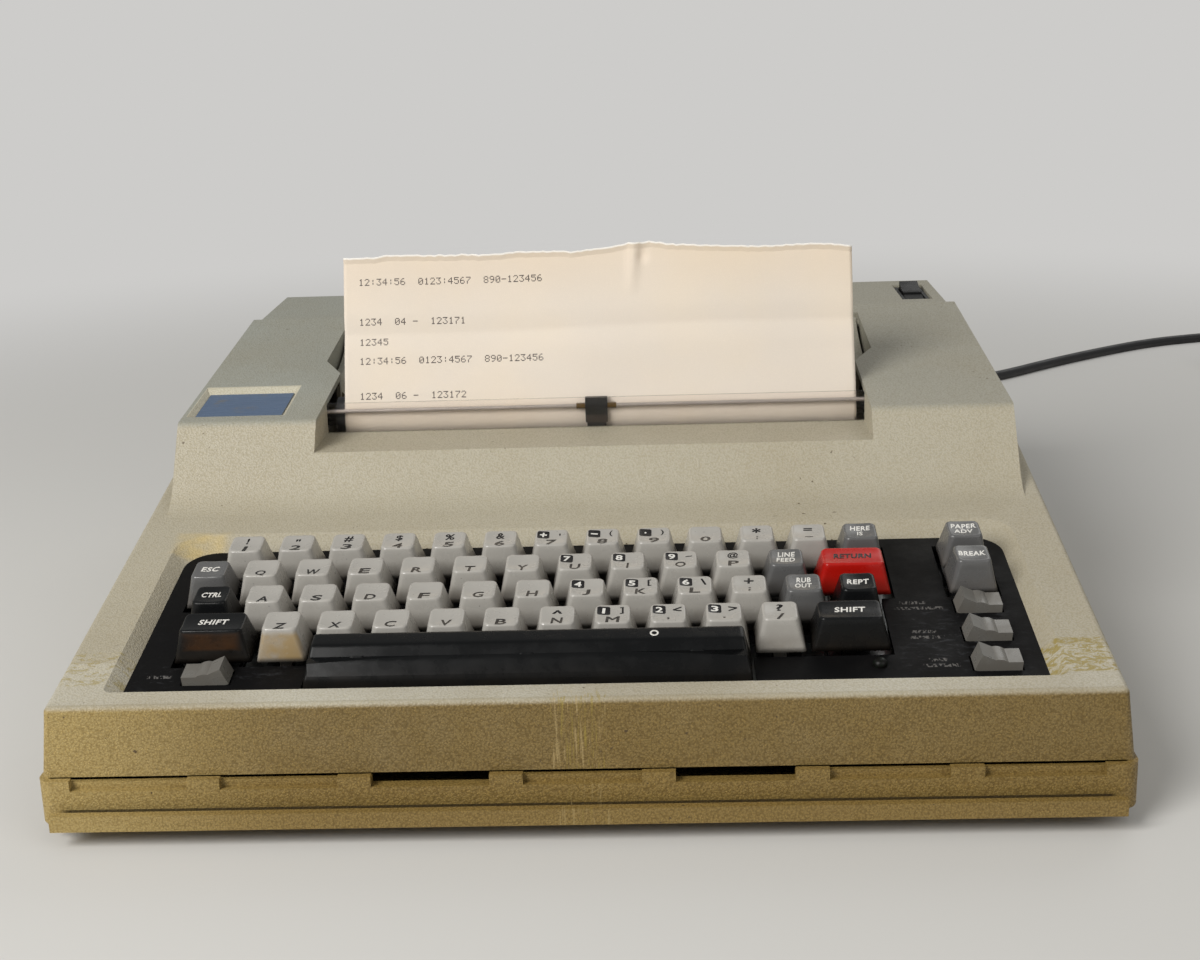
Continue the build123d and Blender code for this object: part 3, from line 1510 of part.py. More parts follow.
with BuildPart() as feed_motor:
    with BuildSketch(side(bracket_left + chassis_sheet)):
        with Locations((at(pinion_back), pinion_height)):
            Circle(feed_motor_radius)
    extrude(amount=feed_motor_length)
    with BuildSketch(side(bracket_left + chassis_sheet)):
        with Locations((at(pinion_back), pinion_height)):
            Circle(motor_shaft_radius + running)
    extrude(amount=feed_shaft_depth + 2.0, mode=Mode.SUBTRACT)
finish("feed_motor", feed_motor)

# Paper roll on its spindle
with BuildPart() as paper_roll:
    with BuildSketch(side(paper_offset - paper_width / 2)):
        with Locations((at(roll_back), roll_height)):
            Circle(roll_radius)
            Circle(spindle_radius, mode=Mode.SUBTRACT)
    extrude(amount=paper_width)
finish("paper_roll", paper_roll)

with BuildPart() as roll_spindle:
    with BuildSketch(side(-spindle_half)):
        with Locations((at(roll_back), roll_height)):
            Circle(spindle_radius)
    extrude(amount=2 * spindle_half)
    with BuildSketch(side(-spindle_pin_half)):
        with Locations((at(roll_back), roll_height)):
            Circle(spindle_end_radius)
    extrude(amount=2 * spindle_pin_half)
finish("roll_spindle", roll_spindle)

# Power cord: route points as X, distance back and height of the cord's middle
cord_route = [
    (cord_exit_x, relief_end, cord_exit_height),
    (cord_exit_x, 448.0, cord_exit_height),
    (131.0, 480.0, 32.5),
    (136.0, 507.0, 19.0),
    (143.0, 534.0, 7.5),
    (154.0, 563.0, cord_radius),
    (172.0, 591.0, cord_radius),
    (199.0, 617.0, cord_radius),
    (228.0, 637.0, cord_radius),
    (258.5, 656.3, cord_radius),
    (297.0, 690.0, cord_radius),
    (339.0, 722.0, cord_radius),
    (382.0, 750.0, cord_radius),
    (421.0, 763.0, cord_radius),
    (448.0, coil_back, cord_radius),
    (coil_x, coil_back, cord_radius),
]
cord_points = [Vector(x, at(back), z) for x, back, z in cord_route]
bend_share = 0.45
bends = []
for before, corner, after in zip(cord_points, cord_points[1:], cord_points[2:]):
    turn = radians((corner - before).get_angle(after - corner))
    shorter = min((corner - before).length, (after - corner).length)
    bends.append(bend_share * shorter / tan(turn / 2))
print("cord radii", [round(bend) for bend in bends])

with BuildPart() as power_cord:
    with BuildLine():
        cord_line = FilletPolyline(*cord_points, radius=bends)
    with BuildSketch(Plane(origin=cord_line @ 0, z_dir=cord_line % 0)):
        Circle(cord_radius)
    sweep()
finish("power_cord", power_cord)
cord_share = power_cord.part.volume / (pi * cord_radius**2 * cord_line.length)
print("cord length", round(cord_line.length, 1), "volume against section times length", round(cord_share, 5))

# Put-away coil: half turns spiral inwards on the desk, one climbs, and the next spiral outwards on top
coil_step = (cord_diameter + coil_gap) / 2
coil_lift = cord_diameter + coil_gap
coil_radii = [coil_radius - i * coil_step for i in range(coil_half_turns)]
coil_middle_x = coil_x + cord_diameter


def half_turn(start, radius, side_sign, heading, rise=0.0):
    """Half a turn between two ends on the coil's middle line."""
    end = start + Vector(0, heading * 2 * radius, rise)
    reach = hypot(radius, rise / 2)
    ThreePointArc(start, (start + end) / 2 + Vector(side_sign * reach, 0, 0), end)
    return end


with BuildPart() as cord_coil:
    with BuildLine() as coil_line:
        spot = Vector(coil_middle_x, at(coil_back), cord_radius)
        Line(spot - Vector(cord_diameter, 0, 0), spot)
        turns = [(radius, 0.0) for radius in coil_radii]
        turns += [(coil_radii[-1] - coil_step, coil_lift)]
        turns += [(radius, 0.0) for radius in reversed(coil_radii)]
        for count, (radius, rise) in enumerate(turns):
            right_side = 1 if count % 2 == 0 else -1
            spot = half_turn(spot, radius, right_side, -right_side, rise)
        Line(spot, spot - Vector(cord_diameter, 0, 0))
    coil_wire = coil_line.wires()[0]
    with BuildSketch(Plane(origin=cord_points[-1], z_dir=(1, 0, 0))):
        Circle(cord_radius)
    sweep(path=coil_wire)
finish("cord_coil", cord_coil)

coil_samples = 900
trail = [coil_wire @ (i / coil_samples) for i in range(coil_samples + 1)]
sample_step = coil_wire.length / coil_samples
apart = ceil(2 * coil_step * pi / sample_step)
least = min(
    (trail[i] - trail[j]).length for i in range(coil_samples + 1) for j in range(i + apart, coil_samples + 1)
)
print("coil", round(coil_wire.length, 1), "least gap", round(least - cord_diameter, 3))
coil_share = cord_coil.part.volume / (pi * cord_radius**2 * coil_wire.length)
print("coil volume against section times length", round(coil_share, 5))

# Plug: a tapered sleeve, a block and three pins, lying beside the coil
plug_half_height = spot.Z - plug_floor_gap
plug_end = spot - Vector(cord_diameter, 0, 0)
plug_plane = Plane(origin=plug_end, x_dir=(0, 1, 0), z_dir=(-1, 0, 0))
with BuildPart() as power_plug:
    with BuildSketch(plug_plane):
        Circle(plug_face)
    with BuildSketch(plug_plane.offset(plug_taper)):
        Circle(2 * plug_face)
    loft()
    with BuildSketch(plug_plane.offset(plug_taper)):
        RectangleRounded(plug_width, 2 * plug_half_height, plug_face)
    extrude(amount=plug_length)
    with BuildSketch(plug_plane.offset(plug_taper + plug_length)):
        with Locations((-6.35, 2.0), (6.35, 2.0)):
            Rectangle(1.5, 6.3)
        with Locations((0, -5.5)):
            Circle(2.4)
    extrude(amount=plug_pin_length)
finish("power_plug", power_plug)

os.makedirs("parts", exist_ok=True)
for part in parts:
    export_step(part, f"parts/{part.label}.step")
    print(part.label, round(part.volume, 1), part.is_valid, len(part.solids()))
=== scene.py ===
"""Printing terminal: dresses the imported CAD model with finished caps, print, paper, cord and materials."""

import math

import bpy
import numpy as np
from bpy.props import FloatProperty, FloatVectorProperty, PointerProperty
from mathutils import Matrix, Vector


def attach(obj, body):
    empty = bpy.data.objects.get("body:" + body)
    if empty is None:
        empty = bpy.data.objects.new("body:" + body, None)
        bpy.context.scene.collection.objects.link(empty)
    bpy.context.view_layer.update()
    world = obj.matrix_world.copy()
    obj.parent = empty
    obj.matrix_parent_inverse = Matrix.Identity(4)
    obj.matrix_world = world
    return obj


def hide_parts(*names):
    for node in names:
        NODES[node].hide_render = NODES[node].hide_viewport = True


bl_info = {
    "name": "Printing Terminal",
    "version": (1, 0, 0),
    "blender": (4, 5, 0),
    "location": "3D View > Sidebar > Terminal",
    "description": "Key caps, legends, paper, cord and plastics of a desk-top printing terminal",
    "category": "Object",
}

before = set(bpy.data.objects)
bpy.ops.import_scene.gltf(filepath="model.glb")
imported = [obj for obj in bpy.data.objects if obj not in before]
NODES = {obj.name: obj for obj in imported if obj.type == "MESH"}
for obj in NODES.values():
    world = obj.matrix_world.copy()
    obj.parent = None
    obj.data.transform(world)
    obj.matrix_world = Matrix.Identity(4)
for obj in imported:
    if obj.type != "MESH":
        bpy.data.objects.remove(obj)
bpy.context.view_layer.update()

MM = 1000.0

# Numbers of the colour mix's sockets
MIX_SHARE = 0
MIX_BELOW = 6
MIX_ABOVE = 7
MIX_RESULT = 2

# Camera of the photograph: lens in millimetres, place in metres, and its directions to the right and up
LENS = 53.115
EYE = 0.0297, -0.7158, 0.2721
EYE_RIGHT = 0.99903, 0.02993, -0.03218
EYE_UP = 0.02271, 0.2752, 0.96112

# Lamps: name, place, width, shares of the key power and of the fill power, and tone
LAMPS = [("key lamp", (-1.05, -1.2, 1.2), 1.1, 1.0, 0.0, (1.0, 0.985, 0.96)),
         ("rear lamp", (0.9, 1.5, 1.5), 1.2, 0.14, 0.0, (1.0, 0.99, 0.97)),
         ("fill lamp", (1.1, -1.1, 1.0), 1.4, 0.0, 1.0, (1.0, 0.97, 0.92))]
LAMP_AIM = 0.0, 0.0, 0.06
FLOOR_RADII = 0.4, 1.2, 4.0, 14.0
FLOOR_SIDES = 96
FLOOR_FADE = 0.42, 1.15

# Sizes that the CAD model fixes, in millimetres
REAR_SHIFT = 194.0
KEY_TILT = math.radians(10.0)
KEY_ORIGIN = np.array((0.0, -149.10975, 61.1146))
KEY_PITCH = 19.05
FIRST_COLUMN = -127.95
TOP_ROW = 61.45
CAP_HEIGHT = 12.0
CAP_BASE_GAP = 1.75
CAP_TOP_GAP = 7.15
CAP_TOP_DEPTH = 12.2
CAP_TOP_SHIFT = -0.5
CAP_WALL = 1.3
STEM_END = 25.5
STEM_HALF = 2.3
STEM_CORNER = 0.4
CAP_INSETS = 0.6, 1.8, 3.2, 4.7
CAP_HOLLOW = 0.6
PLATEN_BACK = 213.4
PLATEN_HEIGHT = 92.7
SHEET_RADIUS = 9.5
SHEET_LEAN = math.radians(20.0)
SHEET_WRAP = math.radians(51.22)
SHEET_LOWER_RUN = 59.9
SHEET_MIDDLE = 2.0
SHEET_HALF = 107.95
MOUTH_RUN = 6.0
COIL_MIDDLE = 480.5
COIL_BACK = 768.0
CORD_REST = 3.25
CORD_END = 6.5
SPACE_BAR_COLUMN = 5.75
SPACE_BAR_STEMS = -57.0, 0.0, 57.0
RING_MARK = 24.4, -9.9

# Places of stains, tones, painted light and painted shade: two corners of a box, or the two ends of a change
# of tone, in metres
FRONT_FACE = (-0.19, -0.1875, 0.0), (0.19, -0.1815, 0.0462)
FRONT_BEZEL = (-0.19, -0.1812, 0.030), (0.19, -0.155, 0.060)
RECESS_CORNER = (-0.163, 0.070, -0.014), (-0.139, 0.089, -0.0082)
NAME_RIM = (-0.1685, -0.010, 0.1), (-0.127, 0.0285, 0.1068)
NAME_FOIL = (-0.1656, -0.2, 0.0), (-0.1294, 0.2, 0.2)
# Box of the painted shade in the groove behind the lower housing's rim
SHADED_RIM_GROOVE = (-0.174, -0.1912, 0.0088), (0.174, -0.1876, 0.0120)
FLANK_HEIGHTS = 0.075, 0.02
DECK_HEIGHTS = 0.0985, 0.1015
# Ends in X of the painted cool light on the deck's left
COOL_LIT_SIDE = -0.08, -0.13
# Ends in X of the painted warm light on the left of the yellowed front
WARM_LIT_SIDE = -0.085, -0.185
YELLOW_RIM = -0.16, -0.18
WINDOW_EDGE = 0.0965, 0.0972
HEAD_FOOT = 0.0945, 0.0940
BUSH_START = 0.00468, 0.00476
PINS_START = 0.4204, 0.4198

# Middle of the print head across, and of the paper roll back and up, in metres
HEAD_MIDDLE = 0.00085
ROLL_MIDDLE = (272.0 - REAR_SHIFT) / MM, 0.070

# Tone of the plug and of the cord's relief
MOULDED_BLACK = 0.085, 0.085, 0.09

# Tape residue: two corners in metres, pattern, noise where the film begins, its share, and the pale tone
RESIDUE = [
    ((-0.0105, -0.188, 0.0215), (0.0095, -0.166, 0.0475), "threads", 0.55, 0.6, (0.66, 0.58, 0.40)),
    ((-0.0085, -0.195, 0.0), (0.0095, -0.180, 0.0190), "threads", 0.62, 0.6, (0.62, 0.54, 0.36)),
    ((-0.178, -0.170, 0.036), (-0.146, -0.148, 0.056), "worms", 0.50, 0.55, (0.74, 0.70, 0.58)),
    ((0.148, -0.172, 0.036), (0.182, -0.150, 0.056), "worms", 0.46, 0.8, (0.72, 0.66, 0.48)),
]

# Worn fronts of the Z cap and of the left SHIFT cap: ends in X, lowest level and tone
WORN_FRONTS = [(-0.1135, -0.0948, -0.0125, (0.62, 0.52, 0.34)),
               (-0.1390, -0.1165, -0.0080, (0.24, 0.15, 0.07))]
WORN_DEPTH = -0.0065, -0.0012
WORN_TOP = -0.0006

# Scuffed patches of the plate: two corners along and up its slope, and the noise where a scuff begins
PLATE_SCUFFS = [(0.100, -0.026, 0.158, 0.036, 0.52), (-0.128, -0.018, -0.094, 0.006, 0.53),
                (-0.156, -0.024, -0.134, 0.000, 0.55)]

# Rubbed-off names beside the rockers: ends along the row, and place up the slope
RUBBED_NAMES = [
    (0.111, 0.121, 0.0292), (0.109, 0.127, 0.0253), (0.113, 0.122, 0.0092), (0.112, 0.125, 0.0055),
    (0.1165, 0.123, -0.0092), (0.114, 0.127, -0.0128), (-0.1495, -0.1405, -0.0112),
]
RUBBED_HALF = 0.0011
PLATE_DEPTH = -0.02

# Special keys: CAD node, column, row, width in key units, legend, printed width in millimetres, finish
SPECIAL_KEYS = [
    ("key_here_is", 12, 0, 1, "HERE\nIS", 7.2, "grey"),
    ("key_paper_advance", 14, 0, 1, "PAPER\nADV", 9.2, "grey"),
    ("key_escape", -0.5, 1, 1, "ESC", 6.3, "grey"),
    ("key_line_feed", 10.5, 1, 1, "LINE\nFEED", 6.6, "grey"),
    ("key_return", 11.75, 1, 1.5, "RETURN", 13.4, "red"),
    ("key_break", 14, 1, 1, "BREAK", 9.6, "grey"),
    ("key_control", -0.25, 2, 1, "CTRL", 7.2, "black"),
    ("key_rub_out", 10.75, 2, 1, "RUB\nOUT", 5.8, "grey"),
    ("key_repeat", 11.75, 2, 1, "REPT", 7.6, "black"),
    ("key_shift_left", 0, 3, 1.5, "SHIFT", 10.2, "black"),
    ("key_shift_right", 11.5, 3, 1.5, "SHIFT", 10.4, "black"),
]

ROCKERS = "rocker_line", "rocker_speed", "rocker_parity", "rocker_duplex"

# Signs of the pale caps whose printed width or height isn't the usual one, in millimetres
LETTER_WIDTH = 3.8
LETTER_HEIGHT = 4.4
SIGN_HEIGHT = 4.0
SIGN_SLANT = 0.07
SIGN_WEIGHT = 0.022
SIGN_WIDTHS = {
    "M": 4.6, "W": 4.9, ":": 0.8, ".": 0.9, ",": 0.9, ";": 0.9, "I": 0.7, "1": 1.3, "-": 3.0, "/": 2.6,
    "!": 0.9, '"': 1.8, "#": 3.4, "$": 2.6, "%": 3.6, "&": 3.3, "*": 3.2, "=": 3.2, "@": 4.0, "+": 3.4,
    "^": 3.6, "?": 2.4, "'": 0.6, "(": 1.2, ")": 1.2, "_": 2.4, "[": 1.3, "]": 1.3, "\\": 2.0, "<": 3.0,
    ">": 3.0, "J": 2.6,
}
SIGN_HEIGHTS = {
    ":": 2.6, ".": 0.9, ",": 1.6, ";": 3.0, "-": 0.5, '"': 1.5, "*": 3.4, "=": 1.8, "+": 3.4, "^": 2.2,
    "'": 1.4, "_": 0.45, "<": 3.0, ">": 3.0,
}
BADGE_SIZES = {"-": (2.6, 0.75), "·": (0.8, 1.0), "+": (2.6, 3.0), "1": (1.0, 3.2)}
BADGE_SIZE = 2.5, 3.3
BADGE_HALF = 2.25, 2.5

# Places of the signs on a cap, across and up from the middle of its top, in millimetres
LOWER_PLACE = 0.0, -3.6
UPPER_PLACE = 0.0, 2.3
BESIDE_PLACE = 3.1, 2.2
BADGE_PLACE = -3.1, 2.2
WORD_PLACE = 0.0, 0.2

# Rows of pale caps: CAD node, first column, row, then each cap's lower, upper, corner and badge legends
CHARACTER_ROWS = [
    ("number_keys", 0, 0, "1 2 3 4 5 6 7 8 9 0 : -".split(), "! \" # $ % & . . . . * =".split(),
     {6: "'", 7: "(", 8: ")"}, {6: "+", 7: "-", 8: "·"}),
    ("upper_letter_keys", 0.5, 1, list("QWERTYUIOP"), list(".........@"), {8: "_"}, {6: "7", 7: "8", 8: "9"}),
    ("home_letter_keys", 0.75, 2, list("ASDFGHJKL;"), list(".........+"), {7: "[", 8: "\\"},
     {6: "4", 7: "5", 8: "6"}),
    ("lower_letter_keys", 1.25, 3, list("ZXCVBNM,./"), list(".....^...?"), {6: "]", 7: "<", 8: ">"},
     {6: "1", 7: "2", 8: "3"}),
]

# Route of the power cord's middle: X, distance back and height in millimetres
CORD_ROUTE = [
    (128.0, 420.0, 40.0), (128.0, 448.0, 40.0), (131.0, 480.0, 32.5), (136.0, 507.0, 19.0),
    (143.0, 534.0, 7.5), (154.0, 563.0, 3.25), (172.0, 591.0, 3.25), (199.0, 617.0, 3.25),
    (228.0, 637.0, 3.25), (258.5, 656.3, 3.25), (297.0, 690.0, 3.25), (339.0, 722.0, 3.25),
    (382.0, 750.0, 3.25), (421.0, 763.0, 3.25), (448.0, 768.0, 3.25), (474.0, 768.0, 3.25),
]
COIL_RADII = (45.5, 41.9, 38.3, 34.7, 31.1, 27.5, 31.1, 34.7, 38.3, 41.9, 45.5)
COIL_CLIMB = 5
COIL_LIFT = 7.2

# Torn edge of the paper: X and length above the mouth, in millimetres
TORN_EDGE = [
    (-105.4, 61.0), (-98.0, 61.0), (-92.0, 61.1), (-88.5, 61.9), (-80.0, 61.9), (-72.0, 61.6), (-60.4, 61.5),
    (-54.0, 61.6), (-46.0, 61.0), (-39.0, 61.3), (-31.0, 62.0), (-22.0, 61.8), (-13.4, 61.9), (-9.0, 61.4),
    (-2.0, 62.1), (3.7, 62.7), (8.0, 62.9), (15.6, 64.5), (19.0, 64.2), (25.0, 65.1), (32.6, 63.6),
    (46.1, 62.8), (71.5, 61.7), (88.4, 62.1), (100.0, 61.9), (104.0, 61.4), (110.6, 60.6),
]

# Dots of the printed digits, five wide and seven high, one row of bits after another
DIGIT_DOTS = {
    "0": "01110 10001 10011 10101 11001 10001 01110", "1": "00100 01100 00100 00100 00100 00100 01110",
    "2": "01110 10001 00001 00010 00100 01000 11111", "3": "11111 00010 00100 00010 00001 10001 01110",
    "4": "00010 00110 01010 10010 11111 00010 00010", "5": "11111 10000 11110 00001 00001 10001 01110",
    "6": "00110 01000 10000 11110 10001 10001 01110", "7": "11111 00001 00010 00100 01000 01000 01000",
    "8": "01110 10001 10001 01110 10001 10001 01110", "9": "01110 10001 10001 01111 00001 00010 01100",
    ":": "00000 00100 00100 00000 00100 00100 00000", "-": "00000 00000 00000 11111 00000 00000 00000",
}
PRINT_LINES = [(50.6, "12:34:56  0123:4567  890-123456"), (33.6, "1234  04 -  123171"), (25.0, "12345"),
               (16.8, "12:34:56  0123:4567  890-123456"), (1.8, "1234  06 -  123172")]

PRINT_LEFT = -99.3
CHARACTER_PITCH = 2.54
DOT_STEP = 0.4
DOT_RISE = 0.42

# Plain finishes by group: name, tone, roughness, metallic share, cloud size, relief depth, wear and brushing,
# then their CAD nodes
PLAIN = {
    "cord": [("moulded plug", MOULDED_BLACK, 0.36, 0.0, 0.01, 0.00004, 0.3, None, "strain_relief")],
    "case": [
        ("foot rubber", (0.10, 0.10, 0.10), 0.62, 0.0, 0.006, 0.00004, 0.35, None, "rubber_feet"),
        ("zinc screws", (0.62, 0.63, 0.63), 0.34, 0.9, 0.002, 0.00003, 0.25, None, "screws"),
        ("zinc panel", (0.56, 0.57, 0.57), 0.38, 0.85, 0.012, 0.00003, 0.25, (0.1, 1, 1), "rear_panel"),
        ("connector shell", (0.60, 0.60, 0.60), 0.30, 0.85, 0.004, 0.00002, 0.25, None, "rear_connector"),
    ],
    "keyboard": [
        ("switch plastic", (0.10, 0.10, 0.105), 0.45, 0.0, 0.004, 0.00003, 0.3, None, "key_switches",
         "rocker_cradles", "power_switch"),
        ("zinc frame", (0.60, 0.61, 0.61), 0.36, 0.9, 0.008, 0.00003, 0.25, None, "switch_frame"),
    ],
    "printer": [
        ("carriage plastic", (0.11, 0.11, 0.12), 0.4, 0.0, 0.005, 0.00002, 0.25, None, "print_carriage"),
        ("ground steel", (0.72, 0.69, 0.67), 0.42, 0.45, 0.003, 0.00001, 0.25, (0.08, 1, 1), "carriage_rails",
         "roll_spindle"),
        ("chassis zinc", (0.60, 0.61, 0.60), 0.38, 0.85, 0.015, 0.00003, 0.25, None, "printer_chassis"),
        ("guide sheet", (0.52, 0.52, 0.51), 0.42, 0.6, 0.01, 0.00003, 0.25, None, "paper_guide"),
        ("platen rubber", (0.075, 0.075, 0.08), 0.62, 0.0, 0.006, 0.00004, 0.35, None, "platen_roller"),
        ("toothed belt", (0.06, 0.06, 0.06), 0.62, 0.0, 0.006, 0.00004, 0.35, None, "drive_belt"),
        ("white nylon", (0.85, 0.83, 0.77), 0.40, 0.0, 0.004, 0.00002, 0.2, None, "platen_gear",
         "feed_pinion", "motor_pulley", "idler_pulley"),
        ("motor shell", (0.58, 0.58, 0.57), 0.34, 0.85, 0.006, 0.00003, 0.25, None, "carriage_motor",
         "feed_motor"),
    ],
}


def colour(name, red, green, blue, words):
    """A colour property whose default is given as sRGB bytes."""
    return FloatVectorProperty(name=name, description=words, subtype="COLOR_GAMMA", size=3, min=0.0, max=1.0,
                               default=(red / 255, green / 255, blue / 255))


def length(name, millimetres, words):
    """A length property whose default is given in millimetres."""
    return FloatProperty(name=name, description=words, default=millimetres / MM, min=0.0,
                         subtype="DISTANCE", unit="LENGTH", precision=5)


def power(name, default, words):
    """A property for the strength of a light."""
    return FloatProperty(name=name, description=words, default=default, min=0.0)


class CaseSettings(bpy.types.PropertyGroup):
    """Moulded case: colours and grain."""

    top: colour("Top", 175, 169, 152, "Plastic of the cover, the printer module and the paper door")
    # Yellowed plastic, painted darker still as shade on the front and the lower housing
    aged_and_shaded: colour("Aged front", 115, 96, 54, "Plastic that has yellowed: the front edge and the lower housing")
    residue: colour("Tape residue", 146, 128, 56, "Dried adhesive left by tape")
    pebble: length("Pebble", 0.72, "Width of one pebble of the moulded grain")
    pebble_depth: length("Pebble depth", 0.26, "Depth of the moulded grain")


class KeySettings(bpy.types.PropertyGroup):
    """Key caps: colours and rounding."""

    letter: colour("Letter caps", 166, 163, 157, "Plastic of the pale caps")
    function: colour("Function caps", 92, 92, 92, "Plastic of the grey caps")
    send: colour("Return cap", 172, 20, 12, "Plastic of the wide red cap")
    shift: colour("Shift caps", 18, 19, 20, "Plastic of the black caps and the space bar")
    rocker: colour("Rockers", 110, 109, 105, "Plastic of the small mode rockers")
    dark_print: colour("Dark legends", 26, 25, 26, "Second moulding of the dark legends")
    pale_print: colour("Pale legends", 222, 220, 214, "Second moulding of the pale legends")
    edge: length("Edge radius", 1.05, "Rounding between a cap's top and its sides")
    corner: length("Corner radius", 2.0, "Rounding of a cap's corners seen from above")
    dish: length("Dish radius", 34.0, "Radius of the hollow in a cap's top")
    dish_depth: length("Dish depth", 0.6, "Depth of the hollow in a cap's top")


class PaperSettings(bpy.types.PropertyGroup):
    """Thermal paper that stands in the mouth."""

    sheet: colour("Paper", 218, 208, 196, "Warm white thermal paper")
    ink: colour("Print", 78, 68, 64, "Faded dots of the printing")
    thickness: length("Thickness", 0.12, "Thickness of the paper")
    crease: length("Crease", 1.5, "Height of the creases and waves")
    dot: length("Dot", 0.42, "Width of one printed dot")


class CordSettings(bpy.types.PropertyGroup):
    """Power cord."""

    jacket: colour("Jacket", 30, 30, 32, "Rubber of the cord")
    diameter: length("Diameter", 6.5, "Thickness of the cord")


class StageSettings(bpy.types.PropertyGroup):
    """Floor and lamps."""

    floor: colour("Floor", 205, 204, 201, "Plain pale floor")
    backdrop: colour("Backdrop", 205, 204, 202, "Background that the floor fades into")
    key_power: power("Key lamp", 34.5, "Power of the lamp above")
    fill_power: power("Fill lamp", 5.0, "Power of the lamp in front")
    sky: power("Sky", 0.31, "Strength of the even light from all sides")


def linear(gamma):
    """sRGB values from 0 to 1 as linear ones: (c/12.92) below 0.04045, else ((c+0.055)/1.055)^2.4."""
    given = np.asarray(gamma, float)
    turned = np.where(given <= 0.04045, given / 12.92, ((given + 0.055) / 1.055) ** 2.4)
    return (*(float(c) for c in turned), 1.0)


def shade(gamma, share):
    """A colour made lighter or darker by a share of itself."""
    return tuple(min(1.0, c * share) for c in gamma)


class Finish:
    """A Principled material. Each method adds nodes, and the running tone and height end in the shader."""

    def __init__(self, name, tone, roughness, metallic=0.0, **sockets):
        self.material = bpy.data.materials.new(name)
        self.material.use_nodes = True
        self.material.diffuse_color = linear(tone)
        self.tree = self.material.node_tree
        self.shader = self.tree.nodes["Principled BSDF"]
        self.shader.inputs["Base Color"].default_value = linear(tone)
        self.shader.inputs["Roughness"].default_value = roughness
        self.shader.inputs["Metallic"].default_value = metallic
        for socket, value in sockets.items():
            self.shader.inputs[socket.replace("_", " ")].default_value = value
        self.place = self.node("ShaderNodeTexCoord").outputs["Object"]
        self.tone = linear(tone)
        self.normal = None

    def node(self, kind, values=(), **options):
        """A node with its options, and its inputs by number or name as sockets or values."""
        made = self.tree.nodes.new(kind)
        for option, value in options.items():
            setattr(made, option, value)
        for key, value in dict(values).items():
            if isinstance(value, bpy.types.NodeSocket):
                self.tree.links.new(value, made.inputs[key])
            else:
                made.inputs[key].default_value = value
        return made

    def turned(self, shift=(0, 0, 0), turn=(0, 0, 0), scale=(1, 1, 1), place=None):
        """Object coordinates moved, turned and stretched."""
        values = {0: place or self.place, 1: shift, 2: turn, 3: scale}
        return self.node("ShaderNodeMapping", values).outputs[0]

    def key_plane(self):
        """Object coordinates in the plane of the key tops."""
        c, s = math.cos(KEY_TILT), math.sin(KEY_TILT)
        x, y, z = KEY_ORIGIN / MM
        return self.turned((-x, -(y * c + z * s), -(z * c - y * s)), (-KEY_TILT, 0, 0))

    def grain(self, size, detail=2.0, spread=0.5, place=None, warp=0.0):
        """Cloudy noise from 0 to 1 whose blots are about size metres wide."""
        values = {"Vector": place or self.place, "Scale": 1 / size, "Detail": detail, "Roughness": spread,
                  "Distortion": warp}
        return self.node("ShaderNodeTexNoise", values).outputs["Fac"]

    def pebbles(self, size, place=None, smooth=0.6):
        """Smooth cells, 0 in their middles and rising to their borders."""
        values = {"Vector": place or self.place, "Scale": 1 / size, "Smoothness": smooth}
        return self.node("ShaderNodeTexVoronoi", values, feature="SMOOTH_F1").outputs["Distance"]

    def ramp(self, value, low, high, to_low=0.0, to_high=1.0):
        """A value from low to high carried over to the other range, held at its ends."""
        values = {0: value, 1: low, 2: high, 3: to_low, 4: to_high}
        return self.node("ShaderNodeMapRange", values, interpolation_type="SMOOTHSTEP").outputs[0]

    def blots(self, size, detail, low, high, share=1.0, spread=0.5, least=0.0):
        """Cloudy blots about size metres wide: the noise from low to high carried over to a share."""
        return self.ramp(self.grain(size, detail, spread), low, high, least, share)

    def math(self, operation, first, second=0.0):
        """One step of arithmetic on two values."""
        return self.node("ShaderNodeMath", {0: first, 1: second}, operation=operation).outputs[0]

    def both(self, first, second):
        """Product of two shares."""
        return self.math("MULTIPLY", first, second)

    def axis(self, name, place=None):
        """One coordinate of a place."""
        return self.node("ShaderNodeSeparateXYZ", {0: place or self.place}).outputs[name]

    def inside(self, low, high, soft=0.1, place=None):
        """1 inside a box given by two corners in metres, falling to 0 over a soft share of its half size."""
        low, high = np.array(low, float), np.array(high, float)
        middle, half = tuple((low + high) / 2), tuple((high - low) / 2)
        apart = place or self.place
        for operation, by in (("SUBTRACT", {1: middle}), ("ABSOLUTE", {}), ("DIVIDE", {1: half})):
            apart = self.node("ShaderNodeVectorMath", {0: apart, **by}, operation=operation).outputs[0]
        split = self.node("ShaderNodeSeparateXYZ", {0: apart}).outputs
        most = self.math("MAXIMUM", self.math("MAXIMUM", split[0], split[1]), split[2])
        return self.ramp(most, 1.0, 1.0 - soft)

    def tint(self, share, gamma, how="MIX"):
        """Lays a colour over the running tone by a share from 0 to 1."""
        slots = {MIX_SHARE: share, MIX_BELOW: self.tone, MIX_ABOVE: linear(gamma)}
        self.tone = self.node("ShaderNodeMix", slots, data_type="RGBA", blend_type=how).outputs[MIX_RESULT]
        self.tree.links.new(self.tone, self.shader.inputs["Base Color"])

    def gloss(self, value, low, high, rough_low, rough_high):
        """Roughness that follows a value."""
        rough = self.ramp(value, low, high, rough_low, rough_high)
        self.tree.links.new(rough, self.shader.inputs["Roughness"])

    def emboss(self, height, depth, strength=1.0):
        """Relief of a depth in metres, laid over the relief that is there."""
        values = {"Strength": strength, "Distance": depth, "Height": height}
        if self.normal:
            values["Normal"] = self.normal
        self.normal = self.node("ShaderNodeBump", values).outputs[0]
        self.tree.links.new(self.normal, self.shader.inputs["Normal"])


def settings(name):
    """One of the scene's groups of settings."""
    return getattr(bpy.context.scene, "terminal_" + name)


